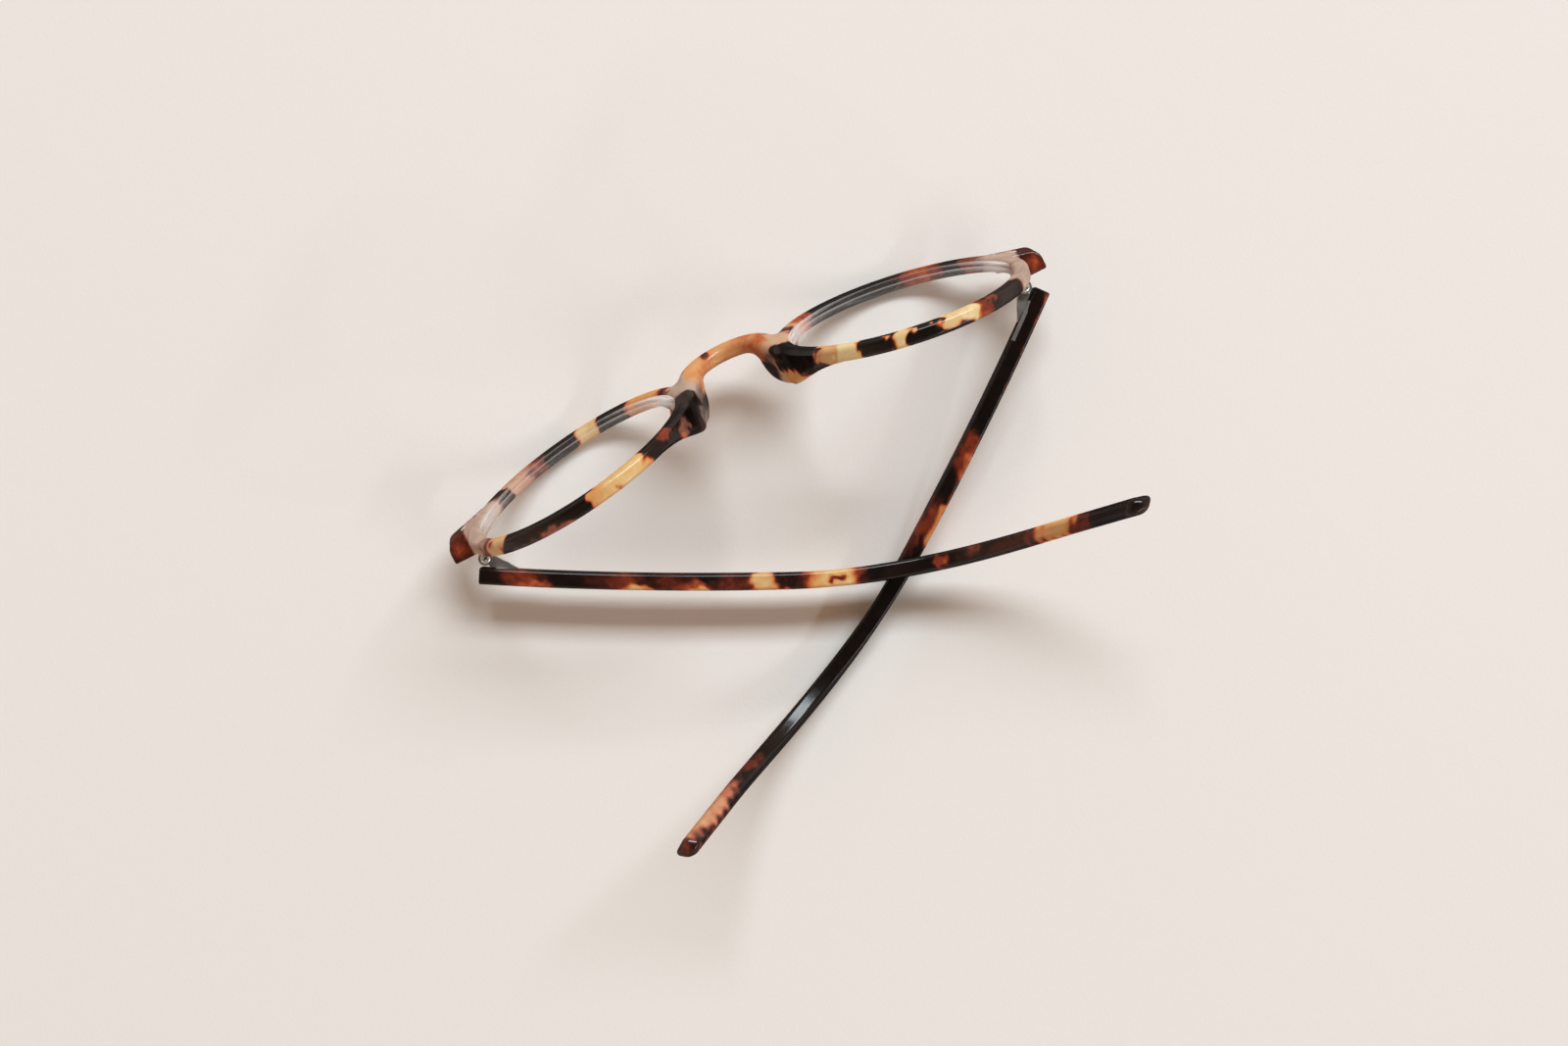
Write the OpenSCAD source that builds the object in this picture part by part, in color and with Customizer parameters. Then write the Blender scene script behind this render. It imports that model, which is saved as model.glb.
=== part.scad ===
// Folding reading glasses: tortoiseshell acetate front, clear round lenses, glued nose pads,
// riveted three-barrel hinges and wire-cored acetate temples.
// The glasses lie upside down on the top edge of the front, with the temples half folded.
// +X is the wearer's right, -Y is the way the lenses face and +Z points away from the table.
// The origin is the middle of the bridge where it sits on the nose.

/* [Front] */
// Distance between the centres of the two lenses, mm
lens_spacing = 70; // [64:0.5:76]
// Diameter of each lens opening, mm
lens_opening = 44.9; // [40:0.1:50]
// Width of the rim seen from the front, mm
rim_face = 3.0; // [2.5:0.1:5]
// Thickness of the front from its outer to its inner face, mm
front_thickness = 3.0; // [2.5:0.1:4.5]
// Radius of the rounded edges of the rims and the bridge, mm
rim_rounding = 0.9; // [0.3:0.1:1.2]
// Radius of the curve of each rim's outer face, mm
rim_curve_radius = 232; // [120:1:400]
// Angle each lens is turned back towards the temple, degrees
wrap_angle = 7.5; // [0:0.5:10]
// Lean of the front against the hinge axes, degrees
front_tilt = 14.5; // [5:0.5:18]
// Height of the lens centres from the hinge centres, along the front, mm
lens_height = 11.4; // [6:0.1:14]
// Distance of the rims' outer face ahead of the hinge axes, mm
front_reach = 13.0; // [11:0.1:15]

/* [Bridge] */
// Radius of the arch over the nose, mm
nose_arch_radius = 6.3; // [5:0.1:8]
// Height of the bridge bar at its crown, mm
bridge_height = 3.8; // [3:0.1:6]
// Thickness of the bridge from front to back, mm
bridge_thickness = 3.1; // [2.2:0.1:4]
// Height from the hinge centres to the centre of the arch, mm
arch_level = 4.6; // [2:0.1:7]
// Forward lean of the arch, degrees
arch_lean = 4; // [0:0.5:25]
// Distance of the arch's feet ahead of the hinge axes, mm
arch_reach = 14.3; // [12:0.1:16]
// Length of the arch's feet beside the nose pads, mm
foot_length = 8; // [5:0.5:10]

/* [Nose pads] */
// Half the gap between the pads where they meet the front, mm
pad_half_gap = 6.3; // [5:0.1:8]
// Radius of a pad's curved nose side, mm
pad_curve_radius = 9.3; // [7:0.1:14]
// Angle a pad curves away from the nose, degrees
pad_sweep = 48; // [30:1:60]
// Radius of a pad's round tip, mm
pad_tip_radius = 1.4; // [1:0.1:2]
// Width of a pad over the back of the rim, mm
pad_width = 6.4; // [5:0.1:8]
// Thickness of a pad at its root beside the arch's foot, mm
pad_root = 2.8; // [2:0.1:4]
// Distance from the hinge axes forward to where a pad starts to curve, mm
pad_reach = 10.3; // [9:0.1:12]
// Radius of a pad's back edge seen from the side, mm
pad_side_radius = 14; // [9:0.5:20]
// Height of a pad, mm
pad_height = 19; // [12:0.5:22]
// Height from the hinge centres to the middle of the pads, mm
pad_level = 9; // [5:0.1:12]

/* [Lenses] */
// Width of the lens edge that sits in the rim's groove, mm
lens_edge = 1.1; // [0.8:0.1:1.6]
// Depth of the groove inside the rim, mm
groove_depth = 0.5; // [0.3:0.1:0.8]
// Radius of the lens's outer surface, mm
lens_front_radius = 130; // [80:1:250]
// Radius of the lens's inner surface, mm
lens_back_radius = 170; // [100:1:400]

/* [Endpieces] */
// Distance between the two hinge axes, mm
hinge_spacing = 119.5; // [112:0.5:128]
// Distance of the endpiece's outer face outside the hinge axis, mm
endpiece_reach = 5.7; // [5:0.1:7]
// Height of the endpiece, mm
endpiece_height = 5.8; // [5.5:0.1:8]
// Radius of the endpiece's rounded outer corner, mm
endpiece_rounding = 3.0; // [1:0.1:4]
// Setback of the endpiece's front behind the rims' foremost face, mm
endpiece_setback = 4.7; // [3:0.1:6]
// Slope of the endpiece's front towards the temple, degrees
endpiece_slope = 14; // [5:1:20]
// Distance from the endpiece's rear face to the hinge axis, mm
endpiece_back_gap = 1.5; // [1:0.1:2]

/* [Hinges] */
// Outer diameter of the hinge barrels, mm
barrel_diameter = 2.8; // [2.4:0.1:3.4]
// Height of all three barrels together, mm
barrel_height = 5.0; // [4:0.1:6]
// Height of the temple's middle barrel, mm
middle_barrel_height = 1.6; // [1.2:0.1:2.4]
// Diameter of the screw's shank, mm
screw_diameter = 1.4; // [1.2:0.1:1.6]
// Diameter of the screw's head, mm
screw_head_diameter = 2.0; // [1.8:0.1:2.4]
// Thickness of the leaf on the endpiece, mm
front_leaf_thickness = 0.9; // [0.6:0.1:1.2]
// Thickness of the leaf on the temple, mm
temple_leaf_thickness = 0.7; // [0.5:0.1:1]
// Length of the leaf on the temple, mm
temple_leaf_length = 8.5; // [7:0.1:12]
// Length of the web that joins the leaf to its barrel, mm
web_length = 4.6; // [3:0.1:8]
// Height of both leaves, mm
leaf_height = 4.6; // [3.6:0.1:5]
// Diameter of the rivets, mm
rivet_diameter = 1.3; // [1:0.1:1.6]
// Diameter of the rivets' domed heads, mm
rivet_head_diameter = 1.9; // [1.5:0.1:2.4]
// Distance between the two rivets of a leaf, mm
rivet_spacing = 4.2; // [3.6:0.1:5]

/* [Temples] */
// Height of a temple, mm
temple_height = 5.0; // [4:0.1:7]
// Thickness of a temple, mm
temple_thickness = 3.4; // [2.8:0.1:4]
// Distance from the hinge axis out to the middle of the temple, mm
temple_offset = 3.5; // [3.3:0.1:4.5]
// Distance from the temple's butt end to the hinge axis, mm
butt_reach = 1.0; // [0.5:0.1:1.3]
// Straight length from the butt end to the ear bend, mm
straight_length = 80.5; // [70:0.5:100]
// Radius of the ear bend, mm
ear_bend_radius = 39; // [25:1:60]
// Angle of the ear bend, degrees
ear_bend_angle = 61; // [30:1:70]
// Straight length of the tip behind the ear bend, mm
tip_length = 17.9; // [5:0.1:30]
// Length of the nearly straight stretch before the inward bow, mm
bow_start = 61; // [40:1:75]
// Radius of the slight inward bow next to the hinge, mm
near_bow_radius = 732; // [400:1:2000]
// Radius of the inward bow towards the tip, mm
far_bow_radius = 145; // [100:1:400]
// Angle the tip is turned inwards, degrees
tip_turn = 26.6; // [10:0.2:30]

/* [Resting position] */
// How far the right temple is folded, degrees
right_fold = 59.9; // [0:0.1:75]
// How far the left temple is folded, degrees
left_fold = 50.3; // [0:0.1:70]
// Rise of the right temple where it lies over the left one, degrees
right_rise = 2.3; // [0:0.1:3]
// Drop of the left temple to the table, degrees
left_drop = 2.4; // [0:0.1:4]
// Lean of the hinge axes against upright as the glasses lie, degrees
lie_tilt = 4.8; // [0:0.1:10]

/* [Hidden] */
$fn = 64;
// Cuts reach this far past the surface they open, mm
cut_over = 0.5;
// Clearance between glued, pressed or seated pieces, mm
seat_gap = 0.02;
// Running clearance of the middle barrel on the screw, mm
screw_gap = 0.04;
// Clearance of a leaf in its pocket, mm
pocket_gap = 0.05;
// Height left open above and below the middle barrel, mm
barrel_gap = 0.3;
// Facets of a lens's large circles in a preview
arc_facets = 1440;
// Steps along the temple's ear bend and its far bow, and along its near bow
bend_steps = 18;
near_steps = 4;
// Larger than any distance across the glasses, mm
far = 400;

lens_centre = lens_spacing / 2;
opening_radius = lens_opening / 2;
rim_radius = opening_radius + rim_face;
rim_back_radius = rim_curve_radius - front_thickness;
hinge_x = hinge_spacing / 2;
// Setback of a circle of radius r on a sphere of radius s
function setback(r, s) = s - sqrt(s * s - r * r);
groove_y = setback(opening_radius, rim_curve_radius) + front_thickness / 2;
temple_inner = temple_offset - temple_thickness / 2;
barrel_radius = barrel_diameter / 2;
// Middle of the bridge's nose side, in the frame of the front
saddle_level = arch_level - nose_arch_radius * cos(arch_lean);
saddle_reach = arch_reach + nose_arch_radius * sin(arch_lean);
// Middle of the bridge's nose side, seen from the hinge axes
saddle_y = saddle_level * sin(front_tilt) - saddle_reach * cos(front_tilt);
saddle_z = saddle_level * cos(front_tilt) + saddle_reach * sin(front_tilt);
// Outer face of the endpiece, from the middle of the glasses
endpiece_x = hinge_x + endpiece_reach;
// Start of the endpiece's front, in the frame of the front
endpiece_overlap = 1.4;
endpiece_start_x = lens_centre + opening_radius - endpiece_overlap;
endpiece_start_y = endpiece_setback - front_reach;
// Plane of the front leaf's outer face, ahead of the hinge axis
leaf_y = 5.7;
// Inner edge and outer edge of the front leaf, inside and outside the hinge axis
leaf_in = 4.9;
leaf_out = 3.0;
// Distance from the inner rivet to the hinge axis, and from the front rivet of the temple's leaf
rivet_inset = 2.8;
rivet_in_x = hinge_x - rivet_inset;
temple_rivet_y = 4.2;
// Sides of the front leaf's arm, inside and outside the hinge axis, and the room outside it
arm_in = 0.85;
arm_out = 0.45;
arm_room = 0.3;
// Depth of the recess for the screw's head
head_seat = 0.5;
// Distance from the hinge axis to the near end of the leaf on the temple
leaf_start = 2.1;

acetate = [0.30, 0.13, 0.07];
pad_colour = [0.45, 0.38, 0.34];
lens_colour = [0.90, 0.93, 0.96, 0.35];
nickel = [0.62, 0.62, 0.60];

// Turns the frame of the hinge axes to the way the glasses lie on the table
module lay() {
  rotate([-lie_tilt, 0, 0])
    translate([0, -saddle_y, -saddle_z])
      children();
}

module left_hand() {
  mirror([1, 0, 0])
    children();
}

module on_front() {
  rotate([-front_tilt, 0, 0])
    children();
}

module on_hinge() {
  translate([hinge_x, 0, 0])
    children();
}

module folded(angle) {
  on_hinge()
    rotate([0, 0, angle])
      children();
}

// Local frame of a lens: origin on the rim's outer face, y back to the eye
module on_lens() {
  translate([lens_centre, -front_reach, lens_height])
    rotate([0, 0, wrap_angle])
      children();
}

// Rectangle with round corners, from its lower left corner
module rounded_rectangle(width, height, radius) {
  translate([radius, 0])
    square([width - 2 * radius, height]);
  translate([0, radius])
    square([width, height - 2 * radius]);
  for (x = [radius, width - radius])
    for (y = [radius, height - radius])
      translate([x, y])
        circle(r = radius);
}

// ---- Front ----

module rim_section() {
  middle_setback = setback(opening_radius + rim_face / 2, rim_curve_radius);
  difference() {
    translate([opening_radius, middle_setback])
      rounded_rectangle(rim_face, front_thickness, rim_rounding);
    translate([opening_radius - cut_over, groove_y - lens_edge / 2 - seat_gap])
      square([groove_depth + cut_over + seat_gap, lens_edge + 2 * seat_gap]);
  }
}

// A ring turned about the lens's axis, which points along y
module rim() {
  on_lens()
    rotate([-90, 0, 0])
      rotate_extrude()
        rim_section();
}

// Frame of the arch: its centre on the mid plane, leaning forward
module on_arch() {
  translate([0, -arch_reach, arch_level])
    rotate([-arch_lean, 0, 0])
      children();
}

// Half a ring over the nose, with rounded edges
module bridge_arch() {
  rotate([90, 0, 0])
    rotate([0, 0, 178])
      rotate_extrude(angle = 184)
        translate([nose_arch_radius, -bridge_thickness / 2])
          rounded_rectangle(bridge_height, bridge_thickness, rim_rounding);
}

// Feet of the arch, which widen into the inner sides of the rims
module bridge_foot() {
  foot_width = bridge_height + 1;
  foot_start = nose_arch_radius + 0.3;
  rotate([90, 0, 0])
    translate([0, 0, -bridge_thickness / 2])
      linear_extrude(height = bridge_thickness)
        polygon([
          [foot_start, -1],
          [nose_arch_radius + foot_width, -1],
          [nose_arch_radius + foot_width, foot_length],
          [nose_arch_radius + foot_width / 2, foot_length]
        ]);
}

// Outline of the endpiece seen from above, in the frame of the front
module endpiece_plan() {
  round_x = endpiece_x - endpiece_rounding;
  round_y = endpiece_start_y
    + (endpiece_rounding + (round_x - endpiece_start_x) * sin(endpiece_slope))
    / cos(endpiece_slope);
  inner_x = hinge_x + arm_out + arm_room + 2 * pocket_gap;
  translate([round_x, round_y])
    circle(r = endpiece_rounding);
  polygon([
    [endpiece_start_x, endpiece_start_y],
    [
      round_x + endpiece_rounding * sin(endpiece_slope),
      round_y - endpiece_rounding * cos(endpiece_slope)
    ],
    [round_x, round_y],
    [endpiece_x, round_y],
    [endpiece_x, front_reach],
    [inner_x, front_reach],
    [inner_x, endpiece_start_y + front_thickness + 1],
    [endpiece_start_x, endpiece_start_y + front_thickness]
  ]);
}

module endpiece() {
  intersection() {
    on_front()
      translate([0, 0, -far / 2])
        linear_extrude(height = far)
          endpiece_plan();
    translate([0, -far - endpiece_back_gap, -endpiece_height / 2])
      cube([far, far, endpiece_height]);
  }
}

// Pocket for the front leaf and the holes for its two rivets, with flat seats for their heads
module hinge_cuts() {
  on_hinge() {
    translate([-leaf_in - pocket_gap, -leaf_y - pocket_gap, -leaf_height / 2 - pocket_gap])
      cube([
        leaf_in + leaf_out + 2 * pocket_gap,
        front_leaf_thickness + 2 * pocket_gap,
        leaf_height + 2 * pocket_gap
      ]);
    translate([-leaf_in - pocket_gap, -leaf_y, -barrel_height / 2 - pocket_gap])
      cube([
        leaf_in + arm_out + arm_room + pocket_gap,
        leaf_y,
        barrel_height + 2 * pocket_gap
      ]);
  }
  for (x = [rivet_in_x, rivet_in_x + rivet_spacing]) {
    translate([x, -leaf_y + cut_over, 0])
      rotate([90, 0, 0])
        cylinder(d = rivet_diameter + 2 * seat_gap, h = front_reach);
    translate([x, -leaf_y - rivet_grip(x), 0])
      rotate([90, 0, 0])
        cylinder(d = rivet_head_diameter + 2 * seat_gap, h = front_reach);
  }
}

// Bore in the pieces that join a rim, which ends inside the rim behind its groove
module rim_bore() {
  on_lens()
    rotate([-90, 0, 0])
      translate([0, 0, -far / 2])
        cylinder(r = opening_radius + rim_face / 2, h = far);
}

module front_half() {
  difference() {
    union() {
      on_front()
        rim();
      difference() {
        endpiece();
        on_front()
          rim_bore();
      }
    }
    hinge_cuts();
  }
}

module front_middle() {
  on_front()
    difference() {
      on_arch() {
        bridge_arch();
        bridge_foot();
        left_hand()
          bridge_foot();
      }
      rim_bore();
      left_hand()
        rim_bore();
    }
}

module front_frame() {
  color(acetate)
    lay() {
      front_half();
      left_hand()
        front_half();
      front_middle();
    }
}

// Half section of a lens, its axis upwards: a meniscus with a narrow edge for the groove
module lens_section() {
  edge_front = groove_y - lens_edge / 2;
  edge_back = groove_y + lens_edge / 2;
  body_radius = opening_radius - seat_gap;
  front_centre = edge_front - setback(body_radius, lens_front_radius) + lens_front_radius;
  back_centre = edge_back - setback(body_radius, lens_back_radius) + lens_back_radius;
  difference() {
    union() {
      intersection() {
        translate([0, -edge_back])
          square([body_radius, 2 * edge_back]);
        translate([0, front_centre])
          circle(r = lens_front_radius, $fn = arc_facets);
      }
      translate([0, edge_front])
        square([opening_radius + groove_depth, lens_edge]);
    }
    translate([0, back_centre])
      circle(r = lens_back_radius, $fn = arc_facets);
  }
}

module lens_solid() {
  rotate([-90, 0, 0])
    rotate_extrude($fn = 128)
      lens_section();
}

module lens() {
  color(lens_colour)
    on_front()
      on_lens()
        lens_solid();
}

module right_lens() {
  lay()
    lens();
}

module left_lens() {
  lay()
    left_hand()
      lens();
}

// ---- Nose pads ----

// Outline of a pad seen from above: it curves away from the nose to a round tip
module pad_plan() {
  tip_reach = pad_curve_radius - pad_tip_radius;
  tip_y = tip_reach * sin(pad_sweep);
  tip_x = pad_curve_radius - tip_reach * cos(pad_sweep);
  translate([pad_half_gap, -pad_reach])
    polygon(concat(
      [[0, -front_thickness]],
      [
        for (i = [0:8])
          let (turn = pad_sweep * i / 8)
            [pad_curve_radius * (1 - cos(turn)), pad_curve_radius * sin(turn)]
      ],
      [
        for (i = [1:6])
          let (turn = (180 - pad_sweep) * (1 - i / 6))
            [tip_x + pad_tip_radius * cos(turn), tip_y + pad_tip_radius * sin(turn)]
      ],
      [
        [pad_width, tip_y * 0.6],
        [pad_width, tip_y * 0.3],
        [pad_root, 0],
        [pad_root, -front_thickness]
      ]
    ));
}

// A pad is glued to the back of the rim and of the arch's foot and ends at the lens opening
module nose_pad() {
  rim_back = setback(opening_radius + rim_face / 2, rim_curve_radius) + front_thickness;
  side_y = pad_side_radius - pad_reach + pad_curve_radius * sin(pad_sweep) + 0.4;
  color(pad_colour)
    difference() {
      intersection() {
        translate([0, 0, pad_level - pad_height / 2])
          linear_extrude(height = pad_height)
            pad_plan();
        translate([0, side_y - 2 * pad_side_radius, pad_level])
          rotate([0, 90, 0])
            cylinder(r = pad_side_radius, h = hinge_x);
      }
      on_front() {
        on_lens()
          rotate([-90, 0, 0]) {
            translate([0, 0, rim_back + seat_gap - far])
              cylinder(r = rim_radius + seat_gap, h = far);
            translate([0, 0, -far / 2])
              cylinder(r = opening_radius + rim_rounding, h = far);
          }
        on_arch()
          translate([0, bridge_thickness / 2 + seat_gap - far, -far / 2])
            cube([far, far, far]);
      }
    }
}

module right_nose_pad() {
  lay()
    nose_pad();
}

module left_nose_pad() {
  lay()
    left_hand()
      nose_pad();
}

// ---- Hinges ----

module front_leaf() {
  arm_thickness = arm_in + arm_out;
  side_barrel = (barrel_height - middle_barrel_height) / 2 - barrel_gap;
  arm_end = -barrel_radius - 0.35;
  color(nickel)
    on_hinge()
      difference() {
        union() {
          translate([-leaf_in, -leaf_y, -leaf_height / 2])
            cube([leaf_in + leaf_out, front_leaf_thickness, leaf_height]);
          translate([-arm_in, -leaf_y, -leaf_height / 2])
            cube([arm_thickness, leaf_y + arm_end, leaf_height]);
          for (z = [-barrel_height / 2, barrel_height / 2 - side_barrel])
            translate([0, 0, z]) {
              cylinder(r = barrel_radius, h = side_barrel);
              translate([-arm_in, arm_end - cut_over, 0])
                cube([arm_thickness, cut_over - arm_end, side_barrel]);
            }
        }
        translate([0, 0, -barrel_height])
          cylinder(d = screw_diameter, h = 2 * barrel_height);
        translate([0, 0, barrel_height / 2 - head_seat])
          cylinder(d = screw_head_diameter + 2 * seat_gap, h = barrel_height);
        for (x = [rivet_in_x, rivet_in_x + rivet_spacing])
          translate([x - hinge_x, 0, 0])
            rotate([90, 0, 0])
              cylinder(d = rivet_diameter, h = front_reach);
      }
}

module right_front_leaf() {
  lay()
    front_leaf();
}

module left_front_leaf() {
  lay()
    left_hand()
      front_leaf();
}

module hinge_screw() {
  head_height = 0.4;
  slot_width = 0.35;
  head_z = barrel_height / 2 - head_seat;
  color(nickel)
    on_hinge()
      difference() {
        union() {
          translate([0, 0, -barrel_height / 2])
            cylinder(d = screw_diameter, h = barrel_height - 0.5);
          translate([0, 0, head_z])
            cylinder(d = screw_head_diameter, h = head_height);
        }
        translate([-screw_head_diameter, -slot_width / 2, head_z + head_height / 2])
          cube([2 * screw_head_diameter, slot_width, head_height]);
      }
}

module right_hinge_screw() {
  lay()
    hinge_screw();
}

module left_hinge_screw() {
  lay()
    left_hand()
      hinge_screw();
}

// ---- Temples ----

// Stations [x, y, heading] along an arc that leaves a point with the given heading
function arc_stations(x, y, heading, radius, sweep, steps) = [
  for (i = [0:steps])
    let (turn = heading + sweep * i / steps)
      [
        x + radius * (sin(turn) - sin(heading)),
        y + radius * (cos(heading) - cos(turn)),
        turn
      ]
];

// Points at the given distance to the left of the stations
function beside(stations, distance) = [
  for (s = stations)
    [s[0] - distance * sin(s[2]), s[1] + distance * cos(s[2])]
];

function reversed(list) = [for (i = [len(list) - 1:-1:0]) list[i]];

// Outline of a band of the given width along the stations
function band(stations, width) = concat(
  beside(stations, -width / 2),
  reversed(beside(stations, width / 2))
);

// Side view of the temple: straight, ear bend, straight to a round tip
module temple_side() {
  bend = arc_stations(straight_length, 0, 0, ear_bend_radius, ear_bend_angle, bend_steps);
  bend_end = bend[bend_steps];
  tip_x = bend_end[0] + tip_length * cos(ear_bend_angle);
  tip_y = bend_end[1] + tip_length * sin(ear_bend_angle);
  tip = [tip_x, tip_y, ear_bend_angle];
  stations = concat([[0, 0, 0]], bend, [tip]);
  polygon(concat(
    beside(stations, -temple_height / 2),
    [
      for (turn = [-75:15:75])
        [
          tip_x + temple_height / 2 * cos(ear_bend_angle + turn),
          tip_y + temple_height / 2 * sin(ear_bend_angle + turn)
        ]
    ],
    reversed(beside(stations, temple_height / 2))
  ));
}

// Top view of the temple: two inward bows, then straight to the tip
module temple_top() {
  near_sweep = bow_start / near_bow_radius * 180 / PI;
  near = arc_stations(0, 0, 0, near_bow_radius, near_sweep, near_steps);
  near_end = near[near_steps];
  far_bow = arc_stations(
    near_end[0], near_end[1], near_sweep,
    far_bow_radius, tip_turn - near_sweep, bend_steps
  );
  far_end = far_bow[bend_steps];
  tail = [
    far_end[0] + far * cos(tip_turn),
    far_end[1] + far * sin(tip_turn),
    tip_turn
  ];
  ahead = [-temple_thickness, 0, 0];
  polygon(band(concat([ahead], near, [for (i = [1:bend_steps]) far_bow[i]], [tail]),
    temple_thickness));
}

// The butt end lies ahead of the hinge axis and the temple runs back along y
module temple_bar() {
  translate([temple_offset, -butt_reach, 0])
    rotate([0, 0, 90])
      intersection() {
        rotate([90, 0, 0])
          translate([0, 0, -far / 2])
            linear_extrude(height = far)
              temple_side();
        translate([0, 0, -far / 2])
          linear_extrude(height = far)
            temple_top();
      }
}

module temple(rise) {
  color(acetate)
    difference() {
      rotate([rise, 0, 0])
        temple_bar();
      temple_rivet_holes(seat_gap);
      translate([temple_inner - cut_over, leaf_start - pocket_gap, -leaf_height / 2 - pocket_gap])
        cube([
          temple_leaf_thickness + cut_over + pocket_gap,
          temple_leaf_length + 2 * pocket_gap,
          leaf_height + 2 * pocket_gap
        ]);
    }
}

module temple_rivet_holes(gap) {
  for (y = [temple_rivet_y, temple_rivet_y + rivet_spacing])
    translate([0, y, 0])
      rotate([0, 90, 0])
        cylinder(d = rivet_diameter + 2 * gap, h = 3 * temple_offset);
}

module right_temple() {
  lay()
    folded(right_fold)
      temple(right_rise);
}

module left_temple() {
  lay()
    left_hand()
      folded(left_fold)
        temple(-left_drop);
}

// The leaf lies flush in the temple's inner face; a thin web joins it to the middle barrel
module temple_leaf() {
  web_side = 0.9;
  color(nickel)
    difference() {
      union() {
        translate([0, 0, -middle_barrel_height / 2]) {
          cylinder(r = barrel_radius, h = middle_barrel_height);
          linear_extrude(height = middle_barrel_height)
            polygon([
              [-web_side, web_side],
              [web_side, 0],
              [temple_inner - pocket_gap, leaf_start - 1],
              [temple_inner - pocket_gap, leaf_start],
              [temple_inner + temple_leaf_thickness / 2, leaf_start],
              [temple_inner + temple_leaf_thickness / 2, leaf_start + web_length],
              [temple_inner - pocket_gap, leaf_start + web_length]
            ]);
        }
        translate([temple_inner, leaf_start, -leaf_height / 2])
          cube([temple_leaf_thickness, temple_leaf_length, leaf_height]);
      }
      translate([0, 0, -barrel_height])
        cylinder(d = screw_diameter + 2 * screw_gap, h = 2 * barrel_height);
      temple_rivet_holes(0);
    }
}

module right_temple_leaf() {
  lay()
    folded(right_fold)
      temple_leaf();
}

module left_temple_leaf() {
  lay()
    left_hand()
      folded(left_fold)
        temple_leaf();
}

// ---- Rivets ----

// A rivet along +Z from the origin, its domed head standing at the far end of the shank
module domed_rivet(shank) {
  dome_height = 0.35;
  head_radius = rivet_head_diameter / 2;
  dome_radius = (head_radius * head_radius + dome_height * dome_height) / (2 * dome_height);
  cylinder(d = rivet_diameter, h = shank);
  translate([0, 0, shank])
    intersection() {
      cylinder(r = head_radius, h = dome_height);
      translate([0, 0, dome_height - dome_radius])
        sphere(r = dome_radius);
    }
}

// Acetate between the front leaf and the endpiece's front at a distance x from the middle
function rivet_grip(x) = -leaf_y
  - (endpiece_start_y + (x - endpiece_start_x) * tan(endpiece_slope)) / cos(front_tilt);

module front_rivet(x) {
  color(nickel)
    translate([x, -leaf_y + front_leaf_thickness, 0])
      rotate([90, 0, 0])
        domed_rivet(front_leaf_thickness + rivet_grip(x));
}

// The temple's rivets are filed flush with its outer face
module temple_rivet(y) {
  color(nickel)
    translate([temple_inner, y, 0])
      rotate([0, 90, 0])
        cylinder(d = rivet_diameter, h = temple_thickness);
}

module right_front_rivet_inner() {
  lay()
    front_rivet(rivet_in_x);
}

module right_front_rivet_outer() {
  lay()
    front_rivet(rivet_in_x + rivet_spacing);
}

module left_front_rivet_inner() {
  lay()
    left_hand()
      front_rivet(rivet_in_x);
}

module left_front_rivet_outer() {
  lay()
    left_hand()
      front_rivet(rivet_in_x + rivet_spacing);
}

module right_temple_rivet_front() {
  lay()
    folded(right_fold)
      temple_rivet(temple_rivet_y);
}

module right_temple_rivet_back() {
  lay()
    folded(right_fold)
      temple_rivet(temple_rivet_y + rivet_spacing);
}

module left_temple_rivet_front() {
  lay()
    left_hand()
      folded(left_fold)
        temple_rivet(temple_rivet_y);
}

module left_temple_rivet_back() {
  lay()
    left_hand()
      folded(left_fold)
        temple_rivet(temple_rivet_y + rivet_spacing);
}

front_frame();
right_lens();
left_lens();
right_nose_pad();
left_nose_pad();
right_front_leaf();
left_front_leaf();
right_hinge_screw();
left_hinge_screw();
right_front_rivet_inner();
right_front_rivet_outer();
left_front_rivet_inner();
left_front_rivet_outer();
right_temple();
left_temple();
right_temple_leaf();
left_temple_leaf();
right_temple_rivet_front();
right_temple_rivet_back();
left_temple_rivet_front();
left_temple_rivet_back();
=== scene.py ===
import bmesh
import bpy
import math
import numpy as np
from mathutils import Matrix, Vector


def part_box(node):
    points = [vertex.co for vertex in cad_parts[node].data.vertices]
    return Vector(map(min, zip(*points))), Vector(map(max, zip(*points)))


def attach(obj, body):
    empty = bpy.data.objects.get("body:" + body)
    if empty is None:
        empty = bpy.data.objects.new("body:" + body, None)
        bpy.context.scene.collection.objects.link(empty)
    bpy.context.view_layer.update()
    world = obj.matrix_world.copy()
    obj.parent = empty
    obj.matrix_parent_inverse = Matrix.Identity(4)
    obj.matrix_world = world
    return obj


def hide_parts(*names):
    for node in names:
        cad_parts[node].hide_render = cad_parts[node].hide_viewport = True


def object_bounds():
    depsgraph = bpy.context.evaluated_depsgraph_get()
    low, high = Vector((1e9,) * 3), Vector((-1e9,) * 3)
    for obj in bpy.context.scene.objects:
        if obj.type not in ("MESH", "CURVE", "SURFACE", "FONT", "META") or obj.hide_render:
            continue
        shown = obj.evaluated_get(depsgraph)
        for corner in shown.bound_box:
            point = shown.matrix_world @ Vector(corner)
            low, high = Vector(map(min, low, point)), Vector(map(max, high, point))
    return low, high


# Folding reading glasses in tortoiseshell acetate, laid upside down with crossed temples.
# Shapes are worked out in mm in the frame of the hinge axes, then laid on the table in metres.

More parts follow.
